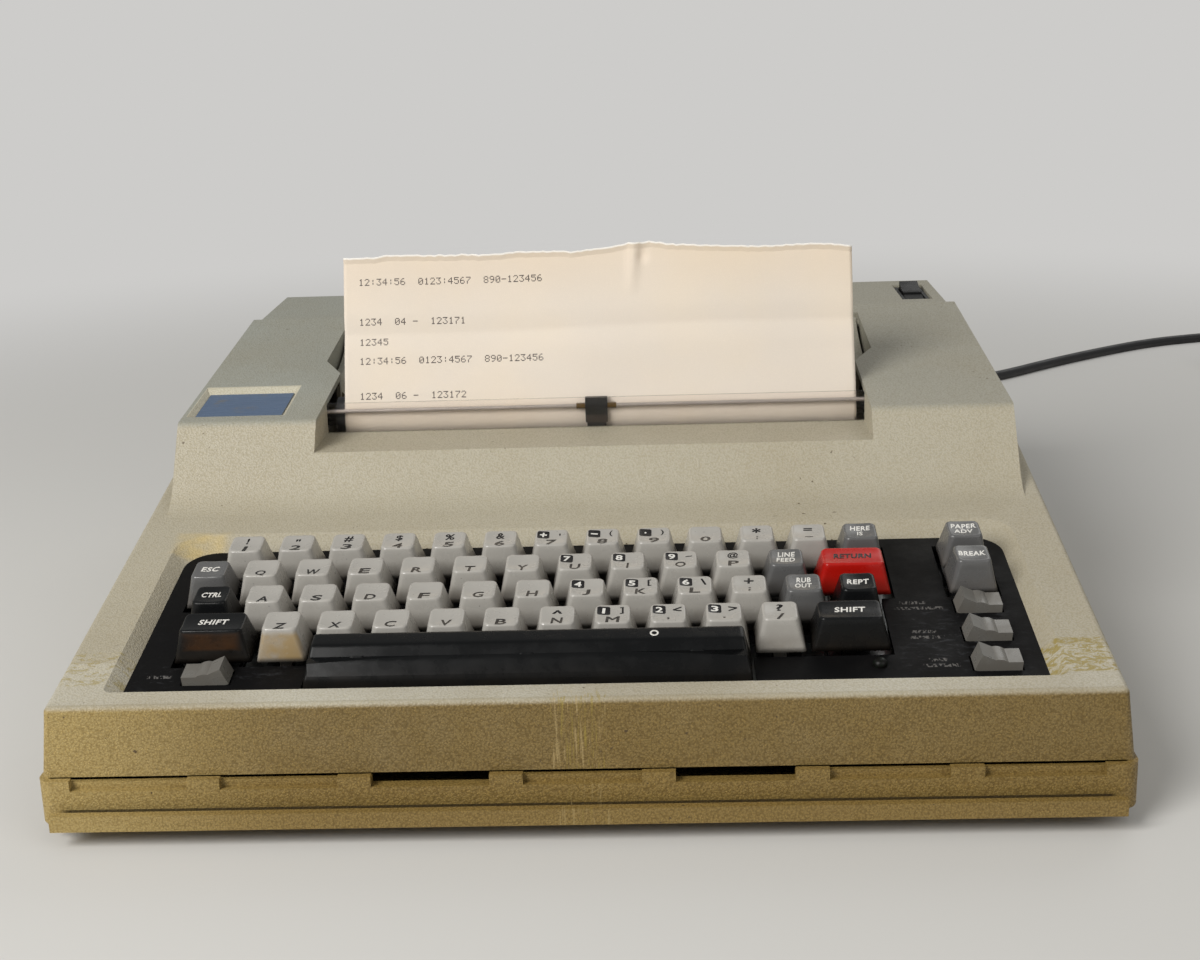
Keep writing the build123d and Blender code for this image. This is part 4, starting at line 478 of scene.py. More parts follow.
def case_plastic(name, front_is_aged_and_shaded):
    """Pebbled, slightly dirty case plastic, yellowed and painted darker as shade all over or only below and
    in front of the crease; on the yellowed part, painted warm light at the left end, painted shade in the
    grain's low borders and painted highlights on its raised points; painted shade in the rim groove.
    """
    case = settings("case")
    tone = case.top if front_is_aged_and_shaded else shade(case.aged_and_shaded, 1.1)
    finish = Finish(name, tone, 0.52, Specular_IOR_Level=0.42)
    yellowed = cover_tones(finish, case) if front_is_aged_and_shaded else finish.ramp(finish.axis(1), *YELLOW_RIM)
    finish.tint(finish.blots(0.09, 4.0, 0.35, 0.75, 0.16, 0.6), shade(case.aged_and_shaded, 1.2))
    cells = finish.pebbles(case.pebble)
    fine = finish.grain(case.pebble * 0.55, 2.0, 0.6)
    finish.tint(finish.ramp(cells, 0.25, 0.75, 0.0, 0.5), (0.88, 0.86, 0.80), "MULTIPLY")
    finish.tint(finish.ramp(fine, 0.45, 0.75, 0.0, 0.8), (1.06, 1.055, 1.04), "MULTIPLY")
    # Painted warm light: the left end of the yellowed front made lighter and yellower
    warm_light = finish.ramp(finish.axis(0), *WARM_LIT_SIDE, 0.0, 0.8)
    finish.tint(finish.both(yellowed, warm_light), (0.655, 0.575, 0.375))
    # Painted shade in the grain's low cell borders and painted highlights on its raised points, on the
    # yellowed part
    shaded_hollows = finish.both(yellowed, finish.ramp(cells, 0.3, 0.75, 0.0, 0.8))
    finish.tint(shaded_hollows, (0.85, 0.83, 0.76), "MULTIPLY")
    lit_crests = finish.both(yellowed, finish.ramp(fine, 0.45, 0.70))
    finish.tint(lit_crests, (1.13, 1.12, 1.08), "MULTIPLY")
    if not front_is_aged_and_shaded:
        # Painted shade: the groove behind the rim of the lower housing made dark brown
        finish.tint(finish.both(finish.inside(*SHADED_RIM_GROOVE, 0.02), 0.8), (0.15, 0.12, 0.07))
    specks = finish.both(finish.blots(0.0021, 1.0, 0.735, 0.80), finish.blots(0.05, 2.0, 0.45, 0.65))
    finish.tint(specks, (0.30, 0.24, 0.15))
    finish.tint(finish.blots(0.035, 5.0, 0.58, 0.86, 0.16, 0.65), (0.46, 0.40, 0.28))
    residue(finish, case)
    finish.gloss(cells, 0.1, 0.8, 0.38, 0.60)
    relief = finish.math("ADD", finish.both(cells, -0.8), finish.both(fine, 0.55))
    finish.emboss(relief, case.pebble_depth, 0.85)
    return finish


def cover_tones(finish, case):
    """Tones of the cover: yellowed face and flanks, painted darker as shade; cool deck with a painted cool
    light at its left; stained corner, name rim; hands back the face.
    """
    # The yellowed tone, which is also painted shade, goes on the front face and the lower flanks
    face = finish.inside(*FRONT_FACE, 0.08)
    finish.tint(finish.both(face, finish.blots(0.02, 3.0, 0.1, 0.7, least=0.92)), case.aged_and_shaded)
    flank = finish.ramp(finish.axis(2), *FLANK_HEIGHTS, 0.0, 0.45)
    finish.tint(finish.both(flank, finish.blots(0.06, 3.0, 0.3, 0.7)), case.aged_and_shaded)
    deck = finish.ramp(finish.axis(2), *DECK_HEIGHTS, 0.0, 0.75)
    finish.tint(deck, (0.592, 0.588, 0.548))
    # Painted cool light on the left of the deck
    cool_light = finish.ramp(finish.axis(0), *COOL_LIT_SIDE, 0.0, 0.75)
    finish.tint(finish.both(deck, cool_light), (0.605, 0.625, 0.605))
    finish.tint(finish.inside(*FRONT_BEZEL, 0.06), (1.07, 1.085, 1.12), "MULTIPLY")
    corner = finish.inside(*RECESS_CORNER, 0.5, finish.key_plane())
    finish.tint(finish.both(corner, finish.blots(0.012, 3.0, 0.3, 0.6, 0.55, least=0.1)), (0.80, 0.70, 0.42))
    finish.tint(finish.both(finish.inside(*NAME_RIM, 0.02), 0.55), (0.88, 0.85, 0.76))
    return face


def residue(finish, case):
    """Dried tape adhesive: pulled threads on the front edge, worms of glue beside the keyboard."""
    upright = finish.turned(scale=(4.6, 1, 0.22))
    slanted = finish.turned(turn=(0, 0, 0.5), scale=(0.8, 1.5, 1))
    patterns = {"threads": finish.grain(0.0045, 3.0, 0.6, upright),
                "worms": finish.grain(0.0032, 4.0, 0.7, slanted, 0.9)}
    for low, high, kind, coverage, share, pale in RESIDUE:
        patch, pattern = finish.inside(low, high, 0.10), patterns[kind]
        film = finish.ramp(pattern, coverage, coverage + 0.10, 0.0, share)
        finish.tint(finish.both(patch, film), case.residue)
        finish.tint(finish.both(patch, finish.ramp(pattern, 0.44, 0.36, 0.0, 0.5)), pale)


def cap_plastic(name, gamma, dirt=0.35, sheen=0.55):
    """Hard satin cap plastic with finger polish on top, dirt towards the skirt and small chips."""
    finish = Finish(name, gamma, 0.30, Specular_IOR_Level=sheen)
    place = finish.key_plane()
    level = finish.axis(2, place)
    clouds = finish.grain(0.009, 4.0, 0.6)
    finish.tint(finish.ramp(clouds, 0.35, 0.75, 0.0, 0.22), shade(gamma, 0.84))
    skirt = finish.ramp(level, -0.002, -0.0125, 0.0, dirt)
    finish.tint(finish.both(skirt, finish.ramp(clouds, 0.3, 0.65, 0.35, 1.0)), (0.36, 0.29, 0.20))
    for left, right, low, tone in WORN_FRONTS:
        worn = finish.inside((left, WORN_DEPTH[0], low), (right, WORN_DEPTH[1], WORN_TOP), 0.4, place)
        finish.tint(finish.both(worn, finish.ramp(clouds, 0.3, 0.6, 0.35, 0.85)), tone)
    finish.tint(finish.blots(0.0012, 1.0, 0.74, 0.80, 0.6), shade(gamma, 0.55))
    finish.tint(finish.blots(0.004, 6.0, 0.62, 0.72, 0.25, 0.75), shade(gamma, 1.22))
    polish = finish.math("ADD", clouds, finish.ramp(level, -0.004, 0.0, 0.12, 0.0))
    finish.gloss(polish, 0.35, 0.8, 0.19, 0.38)
    finish.emboss(finish.grain(0.00032, 2.0), 0.000016, 0.7)
    finish.emboss(finish.grain(0.0045, 2.0), 0.00006, 0.5)
    return finish


def plain_finish(name, gamma, roughness, metallic=0.0, size=0.004, depth=0.00002, wear=0.25, brushed=None):
    """Clouds of tone, fine relief and uneven gloss; brushed is a scale that stretches the grain."""
    finish = Finish(name, gamma, roughness, metallic)
    place = finish.turned(scale=brushed) if brushed else finish.place
    clouds = finish.grain(size, 5.0, 0.62, place)
    finish.tint(finish.ramp(clouds, 0.35, 0.72, 0.0, wear), shade(gamma, 0.68))
    rubs = finish.grain(size * 0.35, 3.0, 0.7, place)
    finish.tint(finish.ramp(rubs, 0.62, 0.8, 0.0, wear), shade(gamma, 1.3))
    finish.gloss(clouds, 0.3, 0.75, max(0.05, roughness - 0.10), min(1.0, roughness + 0.14))
    finish.emboss(finish.grain(size * 0.2, 3.0, 0.6, place), depth, 0.8)
    return finish


def plate_finish():
    """Black textured bezel plate: dust, greasy wear and the rubbed-off marks beside the rockers."""
    finish = Finish("bezel plate", (0.052, 0.051, 0.054), 0.50, Specular_IOR_Level=0.08)
    place = finish.key_plane()
    dust = finish.grain(0.03, 5.0, 0.68, place)
    fine = finish.grain(0.0011, 3.0, 0.7, place)
    finish.tint(finish.ramp(dust, 0.45, 0.8, 0.0, 0.12), (0.18, 0.17, 0.16))
    lint = finish.both(finish.ramp(dust, 0.38, 0.7), finish.ramp(fine, 0.62, 0.72, 0.0, 0.25))
    finish.tint(lint, (0.27, 0.26, 0.25))
    scuffs = finish.grain(0.0021, 5.0, 0.72, finish.turned(scale=(0.42, 1.1, 1), place=place), 0.5)
    for left, low, right, high, level in PLATE_SCUFFS:
        patch = finish.inside((left, low, PLATE_DEPTH), (right, high, 0.0), 0.7, place)
        scuffed = finish.ramp(scuffs, level, level + 0.2, 0.0, 0.42)
        finish.tint(finish.both(patch, scuffed), (0.30, 0.305, 0.32))
    strokes = finish.grain(0.0013, 2.0, 0.5, finish.turned(scale=(1.5, 0.62, 1), place=place), 0.4)
    for left, right, up in RUBBED_NAMES:
        low, high = up - RUBBED_HALF, up + RUBBED_HALF
        mark = finish.inside((left, low, PLATE_DEPTH), (right, high, 0.0), 0.2, place)
        finish.tint(finish.both(mark, finish.ramp(strokes, 0.48, 0.56, 0.0, 0.75)), (0.42, 0.41, 0.40))
    finish.gloss(dust, 0.3, 0.7, 0.38, 0.66)
    finish.emboss(fine, 0.00006, 0.7)
    return finish


def foil_finish():
    """Bare aluminium foil of the plate on the brow: brushed, tarnished and dented at its corners."""
    finish = Finish("bare foil", (0.44, 0.54, 0.68), 0.34, 0.7)
    lines = finish.grain(0.0006, 3.0, 0.6, finish.turned(scale=(0.06, 1, 1)))
    finish.tint(finish.ramp(lines, 0.35, 0.7, 0.0, 0.35), (0.42, 0.46, 0.52))
    finish.tint(finish.blots(0.011, 5.0, 0.55, 0.75, 0.5, 0.7), (0.60, 0.55, 0.44))
    border = finish.inside(*NAME_FOIL, 0.02)
    finish.tint(finish.ramp(border, 1.0, 0.0, 0.0, 0.5), (0.36, 0.37, 0.38))
    finish.gloss(lines, 0.3, 0.7, 0.26, 0.48)
    finish.emboss(lines, 0.00002, 0.5)
    finish.emboss(finish.grain(0.007, 2.0), 0.0002, 0.4)
    return finish


def paper_finish():
    """Thermal paper: warm fibres, yellowed bands and a white torn rim; its UV runs across and up."""
    finish = Finish("thermal paper", settings("paper").sheet, 0.78, Specular_IOR_Level=0.12)
    rise = finish.axis(1, finish.node("ShaderNodeTexCoord").outputs["UV"])
    finish.tint(finish.blots(0.06, 3.0, 0.35, 0.7, 0.3), (0.90, 0.83, 0.72))
    finish.tint(finish.ramp(rise, 0.80, 1.0, 0.0, 0.25), (0.84, 0.74, 0.60))
    finish.tint(finish.blots(0.00035, 4.0, 0.45, 0.8, 0.25, 0.7), (0.97, 0.92, 0.84))
    finish.tint(finish.ramp(rise, 0.9940, 0.9975, 0.0, 0.85), (0.99, 0.98, 0.96))
    finish.emboss(finish.grain(0.0004, 3.0, 0.7), 0.00003, 0.5)
    finish.emboss(finish.grain(0.018, 3.0, 0.6), 0.0008, 0.35)
    return finish


def roll_finish():
    """Edge of a wound paper roll: fine rings round its axis."""
    finish = Finish("wound paper", settings("paper").sheet, 0.75)
    place = finish.turned((0, -ROLL_MIDDLE[0], -ROLL_MIDDLE[1]))
    values = {"Vector": place, "Scale": 160.0, "Distortion": 0.6, "Detail": 2.0}
    rings = finish.node("ShaderNodeTexWave", values, wave_type="RINGS", rings_direction="X").outputs["Fac"]
    finish.tint(finish.ramp(rings, 0.3, 0.9, 0.0, 0.35), (0.72, 0.66, 0.58))
    finish.tint(finish.blots(0.03, 3.0, 0.4, 0.7, 0.3), (0.84, 0.78, 0.68))
    finish.emboss(rings, 0.00005, 0.6)
    return finish


def clear_finish():
    """Clear, slightly dusty acrylic of the tear bar, duller along its upper edge."""
    finish = Finish("clear acrylic", (0.97, 0.95, 0.93), 0.02, Transmission_Weight=1.0, IOR=1.49,
                    Specular_IOR_Level=0.2, Alpha=0.34)
    smears = finish.grain(0.012, 5.0, 0.7, finish.turned(scale=(0.35, 1, 1)))
    finish.tint(finish.ramp(smears, 0.5, 0.8, 0.0, 0.5), (0.93, 0.91, 0.88))
    finish.tint(finish.ramp(finish.axis(2), *WINDOW_EDGE, 0.0, 0.25), (0.82, 0.75, 0.73))
    finish.gloss(smears, 0.45, 0.85, 0.0, 0.10)
    finish.emboss(smears, 0.00004, 0.15)
    return finish


def head_finish():
    """Black print head, worn pale below, between two brass bushes."""
    finish = Finish("print head", (0.05, 0.05, 0.055), 0.36)
    side = finish.math("ABSOLUTE", finish.math("SUBTRACT", finish.axis(0), HEAD_MIDDLE))
    brass = finish.ramp(side, *BUSH_START)
    finish.tint(finish.blots(0.002, 4.0, 0.4, 0.75, 0.4), (0.10, 0.10, 0.10))
    finish.tint(finish.ramp(finish.axis(2), *HEAD_FOOT, 0.0, 0.6), (0.26, 0.22, 0.20))
    finish.tint(brass, (0.46, 0.38, 0.25))
    finish.tree.links.new(brass, finish.shader.inputs["Metallic"])
    finish.emboss(finish.grain(0.0006, 2.0), 0.00003, 0.6)
    return finish


def board_finish(name):
    """Green solder mask over copper tracks."""
    finish = Finish(name, (0.10, 0.27, 0.15), 0.32)
    lattice = {"Vector": finish.turned(turn=(0, 0, 0.785)), "Scale": 120.0, "Mortar Size": 0.04}
    tracks = finish.node("ShaderNodeTexBrick", lattice).outputs["Fac"]
    finish.tint(finish.both(tracks, 0.45), (0.22, 0.46, 0.24))
    pads = finish.ramp(finish.pebbles(0.0045, smooth=0.1), 0.16, 0.12, 0.0, 0.8)
    finish.tint(pads, (0.74, 0.72, 0.66))
    finish.gloss(finish.grain(0.01, 3.0), 0.3, 0.7, 0.24, 0.45)
    finish.emboss(tracks, 0.00004, 0.5)
    return finish


def laminated_finish():
    """Varnished core laminations, one plate on the next, with a paper-wrapped winding."""
    finish = Finish("laminated core", (0.27, 0.24, 0.22), 0.42, 0.5)
    values = {"Vector": finish.place, "Scale": 260.0, "Distortion": 0.2}
    plates = finish.node("ShaderNodeTexWave", values, bands_direction="X").outputs["Fac"]
    finish.tint(finish.ramp(plates, 0.2, 0.9, 0.0, 0.5), (0.14, 0.12, 0.11))
    finish.tint(finish.blots(0.02, 4.0, 0.5, 0.75, 0.4), (0.45, 0.32, 0.20))
    finish.emboss(plates, 0.0001, 0.6)
    return finish


def lamp_finish():
    """Dark tinted indicator lens, unlit."""
    finish = Finish("lamp lens", (0.055, 0.05, 0.045), 0.35, Specular_IOR_Level=0.2)
    finish.tint(finish.blots(0.0012, 3.0, 0.4, 0.7, 0.5), (0.05, 0.10, 0.06))
    finish.gloss(finish.grain(0.0008, 2.0), 0.3, 0.7, 0.28, 0.42)
    return finish


def plug_finish():
    """Dark moulded plug whose flat pins, past its end in X, are brass."""
    finish = Finish("plug and pins", MOULDED_BLACK, 0.36)
    pins = finish.ramp(finish.axis(0), *PINS_START)
    finish.tint(finish.blots(0.008, 4.0, 0.4, 0.75, 0.35), (0.16, 0.16, 0.165))
    finish.tint(pins, (0.76, 0.66, 0.42))
    finish.tree.links.new(pins, finish.shader.inputs["Metallic"])
    finish.emboss(finish.grain(0.0012, 3.0), 0.00003, 0.6)
    return finish


def give(finish, *names):
    """Puts a finish on CAD nodes."""
    for name in names:
        mesh = NODES[name].data
        mesh.materials.clear()
        mesh.materials.append(finish.material)


def give_plain(group):
    """Puts a group's plain finishes on their CAD nodes."""
    for name, gamma, roughness, metallic, size, depth, wear, brushed, *nodes in PLAIN[group]:
        give(plain_finish(name, gamma, roughness, metallic, size, depth, wear, brushed), *nodes)


def add(name, data):
    """A new object of the scene."""
    made = bpy.data.objects.new(name, data)
    bpy.context.scene.collection.objects.link(made)
    return made


def quads(rows, columns, closed=True):
    """Quads between the rows and columns of a grid: (row, column), next column, next row, in turn."""
    row = np.arange(rows - 1)[:, None] * columns
    column = np.arange(columns if closed else columns - 1)[None, :]
    following = (column + 1) % columns
    return np.stack((row + column, row + following, row + columns + following, row + columns + column),
                    -1).reshape(-1, 4)


def fan(ring_start, columns, pole, outward):
    """Triangles between a ring and a pole; outward where the pole ends the surface, else it starts it."""
    ring = ring_start + np.arange(columns)
    following = ring_start + (np.arange(columns) + 1) % columns
    ends = (ring, following) if outward else (following, ring)
    return np.stack((*ends, np.full(columns, pole)), -1)


def piece(name, points, faces, finish, body, smooth=True, uv=None):
    """A mesh of whole arrays: points in millimetres, and face arrays that each have one count of corners."""
    mesh = bpy.data.meshes.new(name)
    corners = np.concatenate([f.ravel() for f in faces]).astype(np.int32)
    counts = np.concatenate([np.full(len(f), f.shape[1]) for f in faces]).astype(np.int32)
    mesh.vertices.add(len(points))
    mesh.vertices.foreach_set("co", (np.asarray(points) / MM).astype(np.float32).ravel())
    mesh.loops.add(len(corners))
    mesh.loops.foreach_set("vertex_index", corners)
    mesh.polygons.add(len(counts))
    mesh.polygons.foreach_set("loop_start", (np.cumsum(counts) - counts).astype(np.int32))
    mesh.polygons.foreach_set("loop_total", counts)
    mesh.polygons.foreach_set("use_smooth", np.full(len(counts), smooth))
    if uv is not None:
        mesh.uv_layers.new(name="UVMap").uv.foreach_set("vector", uv[corners].astype(np.float32).ravel())
    mesh.update(calc_edges=True)
    mesh.validate()
    mesh.materials.append(finish.material)
    made = add(name, mesh)
    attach(made, body)
    return made


def on_keys(points):
    """Points of the key-top plane as X, Y, Z: along the row, up the slope and square to it."""
    c, s = math.cos(KEY_TILT), math.sin(KEY_TILT)
    x, y, z = np.moveaxis(np.asarray(points, float), -1, 0)
    return np.stack((x, y * c - z * s, y * s + z * c), -1) + KEY_ORIGIN


def rounded_rings(half_x, half_y, corner, shift, height):
    """Rounded rectangles, one a row, with three points along each straight.

    The arc of a corner is (half - corner) + corner * (cos a, sin a).
    """
    turn = np.radians(np.linspace(0, 90, 7))[None, :] + np.radians((0, 90, 180, 270))[:, None]
    signs = np.array(((1, 1), (-1, 1), (-1, -1), (1, -1)))
    reach = np.stack((half_x - corner, half_y - corner), -1)[:, None, None, :]
    bends = corner[:, None, None, None] * np.stack((np.cos(turn), np.sin(turn)), -1)
    arcs = signs[None, :, None, :] * reach + bends
    following = np.roll(arcs, -1, axis=1)[:, :, :1]
    share = np.array((0.25, 0.5, 0.75))[None, None, :, None]
    straights = arcs[:, :, -1:] * (1 - share) + following * share
    flat = np.concatenate((arcs, straights), 2).reshape(len(height), -1, 2)
    flat[..., 1] += shift[:, None]
    return np.concatenate((flat, np.broadcast_to(height[:, None, None], (*flat.shape[:2], 1))), -1)


def closed(parts):
    """Parts that are rows of points with a pole at each end, as one set of points, quads and triangles."""
    points, squares, triangles, start = [], [], [], 0
    for rows, poles in parts:
        count, columns = rows.shape[:2]
        pole = start + count * columns
        points += [rows.reshape(-1, 3), poles]
        squares.append(quads(count, columns) + start)
        triangles += [fan(start, columns, pole, False), fan(pole - columns, columns, pole + 1, True)]
        start = pole + 2
    return np.concatenate(points), np.concatenate(squares), np.concatenate(triangles)


def stem(x, y, top):
    """Square stem from its lower end up to a level, as two rows and their poles."""
    half, corner, shift = (np.full(2, float(value)) for value in (STEM_HALF, STEM_CORNER, y))
    rows = rounded_rings(half, half, corner, shift, np.array((-STEM_END, top)))
    rows[..., 0] += x
    return rows, np.array(((x, y, -STEM_END), (x, y, top)))


def dish(x, y, units):
    """Hollow of a cap's top, never above its rim: (x^2 + y^2) / 2R - depth, without x on a wide cap."""
    keys = settings("keys")
    across = y**2 if units > 1 else x**2 + y**2
    return np.minimum(0.0, across / (2 * MM * keys.dish) - MM * keys.dish_depth)


def cap_mesh(units):
    """One cap: rounded rectangles from the ceiling inside, round the skirt and rim, to the top's middle.

    A side at a share t of the height is base + (top - base) * t * (1.16 - 0.16 t); the rim is an arc that
    touches the side and the top; the dish is added to every row in proportion to its nearness to the top.
    """
    keys = settings("keys")
    edge, corner = MM * keys.edge, MM * keys.corner
    base = np.array((units * KEY_PITCH - CAP_BASE_GAP, KEY_PITCH - CAP_BASE_GAP)) / 2
    top = np.array((units * KEY_PITCH - CAP_TOP_GAP, CAP_TOP_DEPTH)) / 2
    slope = math.atan((base[0] - top[0]) / CAP_HEIGHT)
    angles = np.linspace(slope, math.pi / 2, 6)
    rim = edge * (np.cos(angles) - math.tan((math.pi / 2 - slope) / 2))
    rim_height = edge * (np.sin(angles) - 1)
    rise = np.linspace(0, 1 + rim_height[0] / CAP_HEIGHT, 7)[:-1]
    bend = rise * (1.16 - 0.16 * rise)
    sides = base[None] + (top - base)[None] * bend[:, None]
    rims = top[None] + rim[:, None]
    insides = top[None] + rim[-1] * np.ones((4, 1)) - np.array(CAP_INSETS)[:, None]
    ceiling = -CAP_WALL - CAP_HOLLOW
    inner_top, inner_base = top - CAP_WALL, base - CAP_WALL
    halves = np.concatenate(([inner_top * 0.5, inner_top, inner_base, base - 0.25], sides, rims, insides))
    inner_heights = [ceiling, ceiling, -CAP_HEIGHT, -CAP_HEIGHT]
    heights = np.concatenate((inner_heights, (rise - 1) * CAP_HEIGHT, rim_height, np.zeros(4)))
    upper_shifts = np.full(len(rim) + len(insides), CAP_TOP_SHIFT)
    shifts = np.concatenate(([CAP_TOP_SHIFT, CAP_TOP_SHIFT, 0, 0], CAP_TOP_SHIFT * bend, upper_shifts))
    inside_corners = np.maximum(corner + rim[-1] - np.array((0.6, 1.2, 1.2, 1.2)), 0.3)
    side_corners = 1.2 + (corner - 1.2) * bend
    corners = np.concatenate(([0.8, 1.0, 1.0, 1.2], side_corners, corner + rim, inside_corners))
    rows = rounded_rings(halves[:, 0], halves[:, 1], corners, shifts, heights)
    near = np.clip((rows[..., 2] + CAP_HEIGHT) / CAP_HEIGHT, 0, 1) ** 6
    outside = np.arange(len(rows))[:, None] >= len(inner_heights)
    hollow = near * dish(rows[..., 0], rows[..., 1] - CAP_TOP_SHIFT, units)
    rows[..., 2] += np.where(outside, hollow, 0)
    poles = np.array(((0, CAP_TOP_SHIFT, ceiling), (0, CAP_TOP_SHIFT, -MM * keys.dish_depth)))
    return closed([(rows, poles), stem(0, 0, ceiling + 0.3)])


def caps(name, places, units, finish):
    """Like caps at several places of the key plane, in one piece that stands for its CAD node."""
    points, squares, triangles = cap_mesh(units)
    spots = np.array([(x, y, 0.0) for x, y in places])
    all_points = on_keys((points[None] + spots[:, None]).reshape(-1, 3))
    step = (np.arange(len(spots)) * len(points))[:, None, None]
    faces = [(squares[None] + step).reshape(-1, 4), (triangles[None] + step).reshape(-1, 3)]
    made = piece(name + "_caps", all_points, faces, finish, name)
    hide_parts(name)
    return made


def key_x(column):
    """Middle of a key column."""
    return FIRST_COLUMN + column * KEY_PITCH


def key_y(row):
    """Middle of a key row."""
    return TOP_ROW - row * KEY_PITCH


def letters(words, width, height, slant=0.16, weight=0.0, relief=0.05):
    """Outline letters round the origin, stretched to a printed width and to a height for each line."""
    text = bpy.data.curves.new("letters", "FONT")
    text.body = words
    text.align_x, text.align_y = "CENTER", "CENTER"
    text.space_line, text.space_character, text.resolution_u = 0.92, 1.08, 3
    text.extrude, text.bevel_depth, text.bevel_resolution = 0.02, weight, 0
    holder = add("letters", text)
    mesh = bpy.data.meshes.new_from_object(holder)
    points = np.zeros(len(mesh.vertices) * 3, np.float32)
    mesh.vertices.foreach_get("co", points)
    corners, counts = np.zeros(len(mesh.loops), np.int32), np.zeros(len(mesh.polygons), np.int32)
    mesh.loops.foreach_get("vertex_index", corners)
    mesh.polygons.foreach_get("loop_total", counts)
    bpy.data.objects.remove(holder)
    bpy.data.curves.remove(text)
    bpy.data.meshes.remove(mesh)
    points = points.reshape(-1, 3).astype(float)
    low, high = points.min(0), points.max(0)
    lines = words.count("\n") + 1
    size = np.array((width / (high[0] - low[0]), height * (1 + 1.32 * (lines - 1)) / (high[1] - low[1]), 1.0))
    points = (points - (low + high) / 2) * size
    points[:, 0] += slant * points[:, 1]
    points[:, 2] = np.sign(points[:, 2]) * relief
    return points, corners, counts


def merged(sets):
    """Several (points, corners, counts) sets as one set of points and a list of face arrays."""
    points, faces, start = [], {}, 0
    for spots, corners, counts in sets:
        starts = np.cumsum(counts) - counts
        for size in np.unique(counts):
            chosen = starts[counts == size][:, None] + np.arange(size)[None]
            faces.setdefault(int(size), []).append(corners[chosen] + start)
        points.append(spots)
        start += len(spots)
    return np.concatenate(points), [np.concatenate(faces[size]) for size in sorted(faces)]


def on_cap(shape, column, row, across, up, units=1):
    """Letters laid in the dish of one cap, across and up from its top's middle."""
    points, corners, counts = shape
    x, y = points[:, 0] + across, points[:, 1] + up
    z = dish(x, y, units) + points[:, 2]
    spots = np.stack((x + key_x(column), y + CAP_TOP_SHIFT + key_y(row), z), -1)
    return on_keys(spots), corners, counts


def badge(half_x, half_y, relief=0.03):
    """Filled rounded square that carries a number of the pad."""
    inset, level = np.array((0.0, 0.0, 0.9)), np.array((-0.1, relief, relief))
    rows = rounded_rings(half_x - inset, half_y - inset, np.array((0.8, 0.8, 0.3)), np.zeros(3), level)
    columns = rows.shape[1]
    points = np.concatenate((rows.reshape(-1, 3), [(0, 0, relief)]))
    faces = [quads(3, columns), fan(2 * columns, columns, 3 * columns, True)]
    corners = np.concatenate([f.ravel() for f in faces])
    counts = np.concatenate([np.full(len(f), f.shape[1]) for f in faces])
    return points, corners, counts


def space_bar_mesh():
    """Long bar of rounded rectangles: upright skirt, sloping front, rounded rim and slightly crowned top.

    A row has the front, the rear, the half length, the corner and the level of one rectangle.
    """
    half, back = 75.325, -5.6
    rows = np.array((
        (-20.7, -6.9, half - 2, 0.4, -3.0), (-20.7, -6.9, half - 1.3, 0.5, -12.0),
        (-22.0, back, half - 0.1, 0.9, -12.0), (-22.0, back, half, 1.0, -11.8),
        (-21.6, back, half - 0.35, 1.0, -9.4), (-21.2, back, half - 0.6, 1.0, -8.6),
        (-17.9, back, half - 1.6, 1.1, -4.6), (-14.6, back, half - 2.4, 1.2, -0.9),
        (-14.15, -5.75, half - 2.55, 1.1, -0.45), (-13.7, -6.05, half - 2.85, 0.9, -0.15),
        (-13.2, -6.5, half - 3.3, 0.7, 0.0), (-12.5, -7.2, half - 4.0, 0.5, 0.04),
        (-11.4, -8.3, half - 5.2, 0.3, 0.06),
    ))
    front, rear, ends, corners, level = rows.T
    rings = rounded_rings(ends, (rear - front) / 2, corners, (rear + front) / 2, level)
    middle = (rear[-1] + front[-1]) / 2
    poles = np.array(((0, -13.0, level[0]), (0, middle, level[-1])))
    stems = [stem(reach, key_y(4), -2.8) for reach in SPACE_BAR_STEMS]
    points, squares, triangles = closed([(rings, poles), *stems])
    points[:, 0] += key_x(SPACE_BAR_COLUMN)
    return points, squares, triangles


def sheet_point(x, run, lift):
    """A point of the paper from its X, its run along the path from where it leaves the platen, and its lift.

    The path is a straight below the platen, an arc of the sheet radius round it, and a straight that leans.
    """
    arc = SHEET_RADIUS * (SHEET_WRAP + SHEET_LEAN)
    angle = np.clip(-SHEET_LEAN - run / SHEET_RADIUS, -SHEET_LEAN, SHEET_WRAP)
    back = PLATEN_BACK - SHEET_RADIUS * np.cos(angle)
    height = PLATEN_HEIGHT - SHEET_RADIUS * np.sin(angle)
    above, below = np.maximum(run, 0), np.maximum(-run - arc, 0)
    back = back + above * math.sin(SHEET_LEAN) + below * math.sin(SHEET_WRAP) - lift * np.cos(angle)
    height = height + above * math.cos(SHEET_LEAN) - below * math.cos(SHEET_WRAP) - lift * np.sin(angle)
    return np.stack(np.broadcast_arrays(x, back - REAR_SHIFT, height), -1)


def torn_run(x):
    """Run of the torn edge at an X: the edge's points, with small steps of torn fibre."""
    points = np.array(TORN_EDGE)
    rag = 0.16 * np.sin(2.1 * x + 1.0) * np.sin(0.83 * x) + 0.12 * np.sin(5.3 * x + 2 * np.sin(0.37 * x))
    return MOUTH_RUN + np.interp(x, points[:, 0], points[:, 1]) + rag


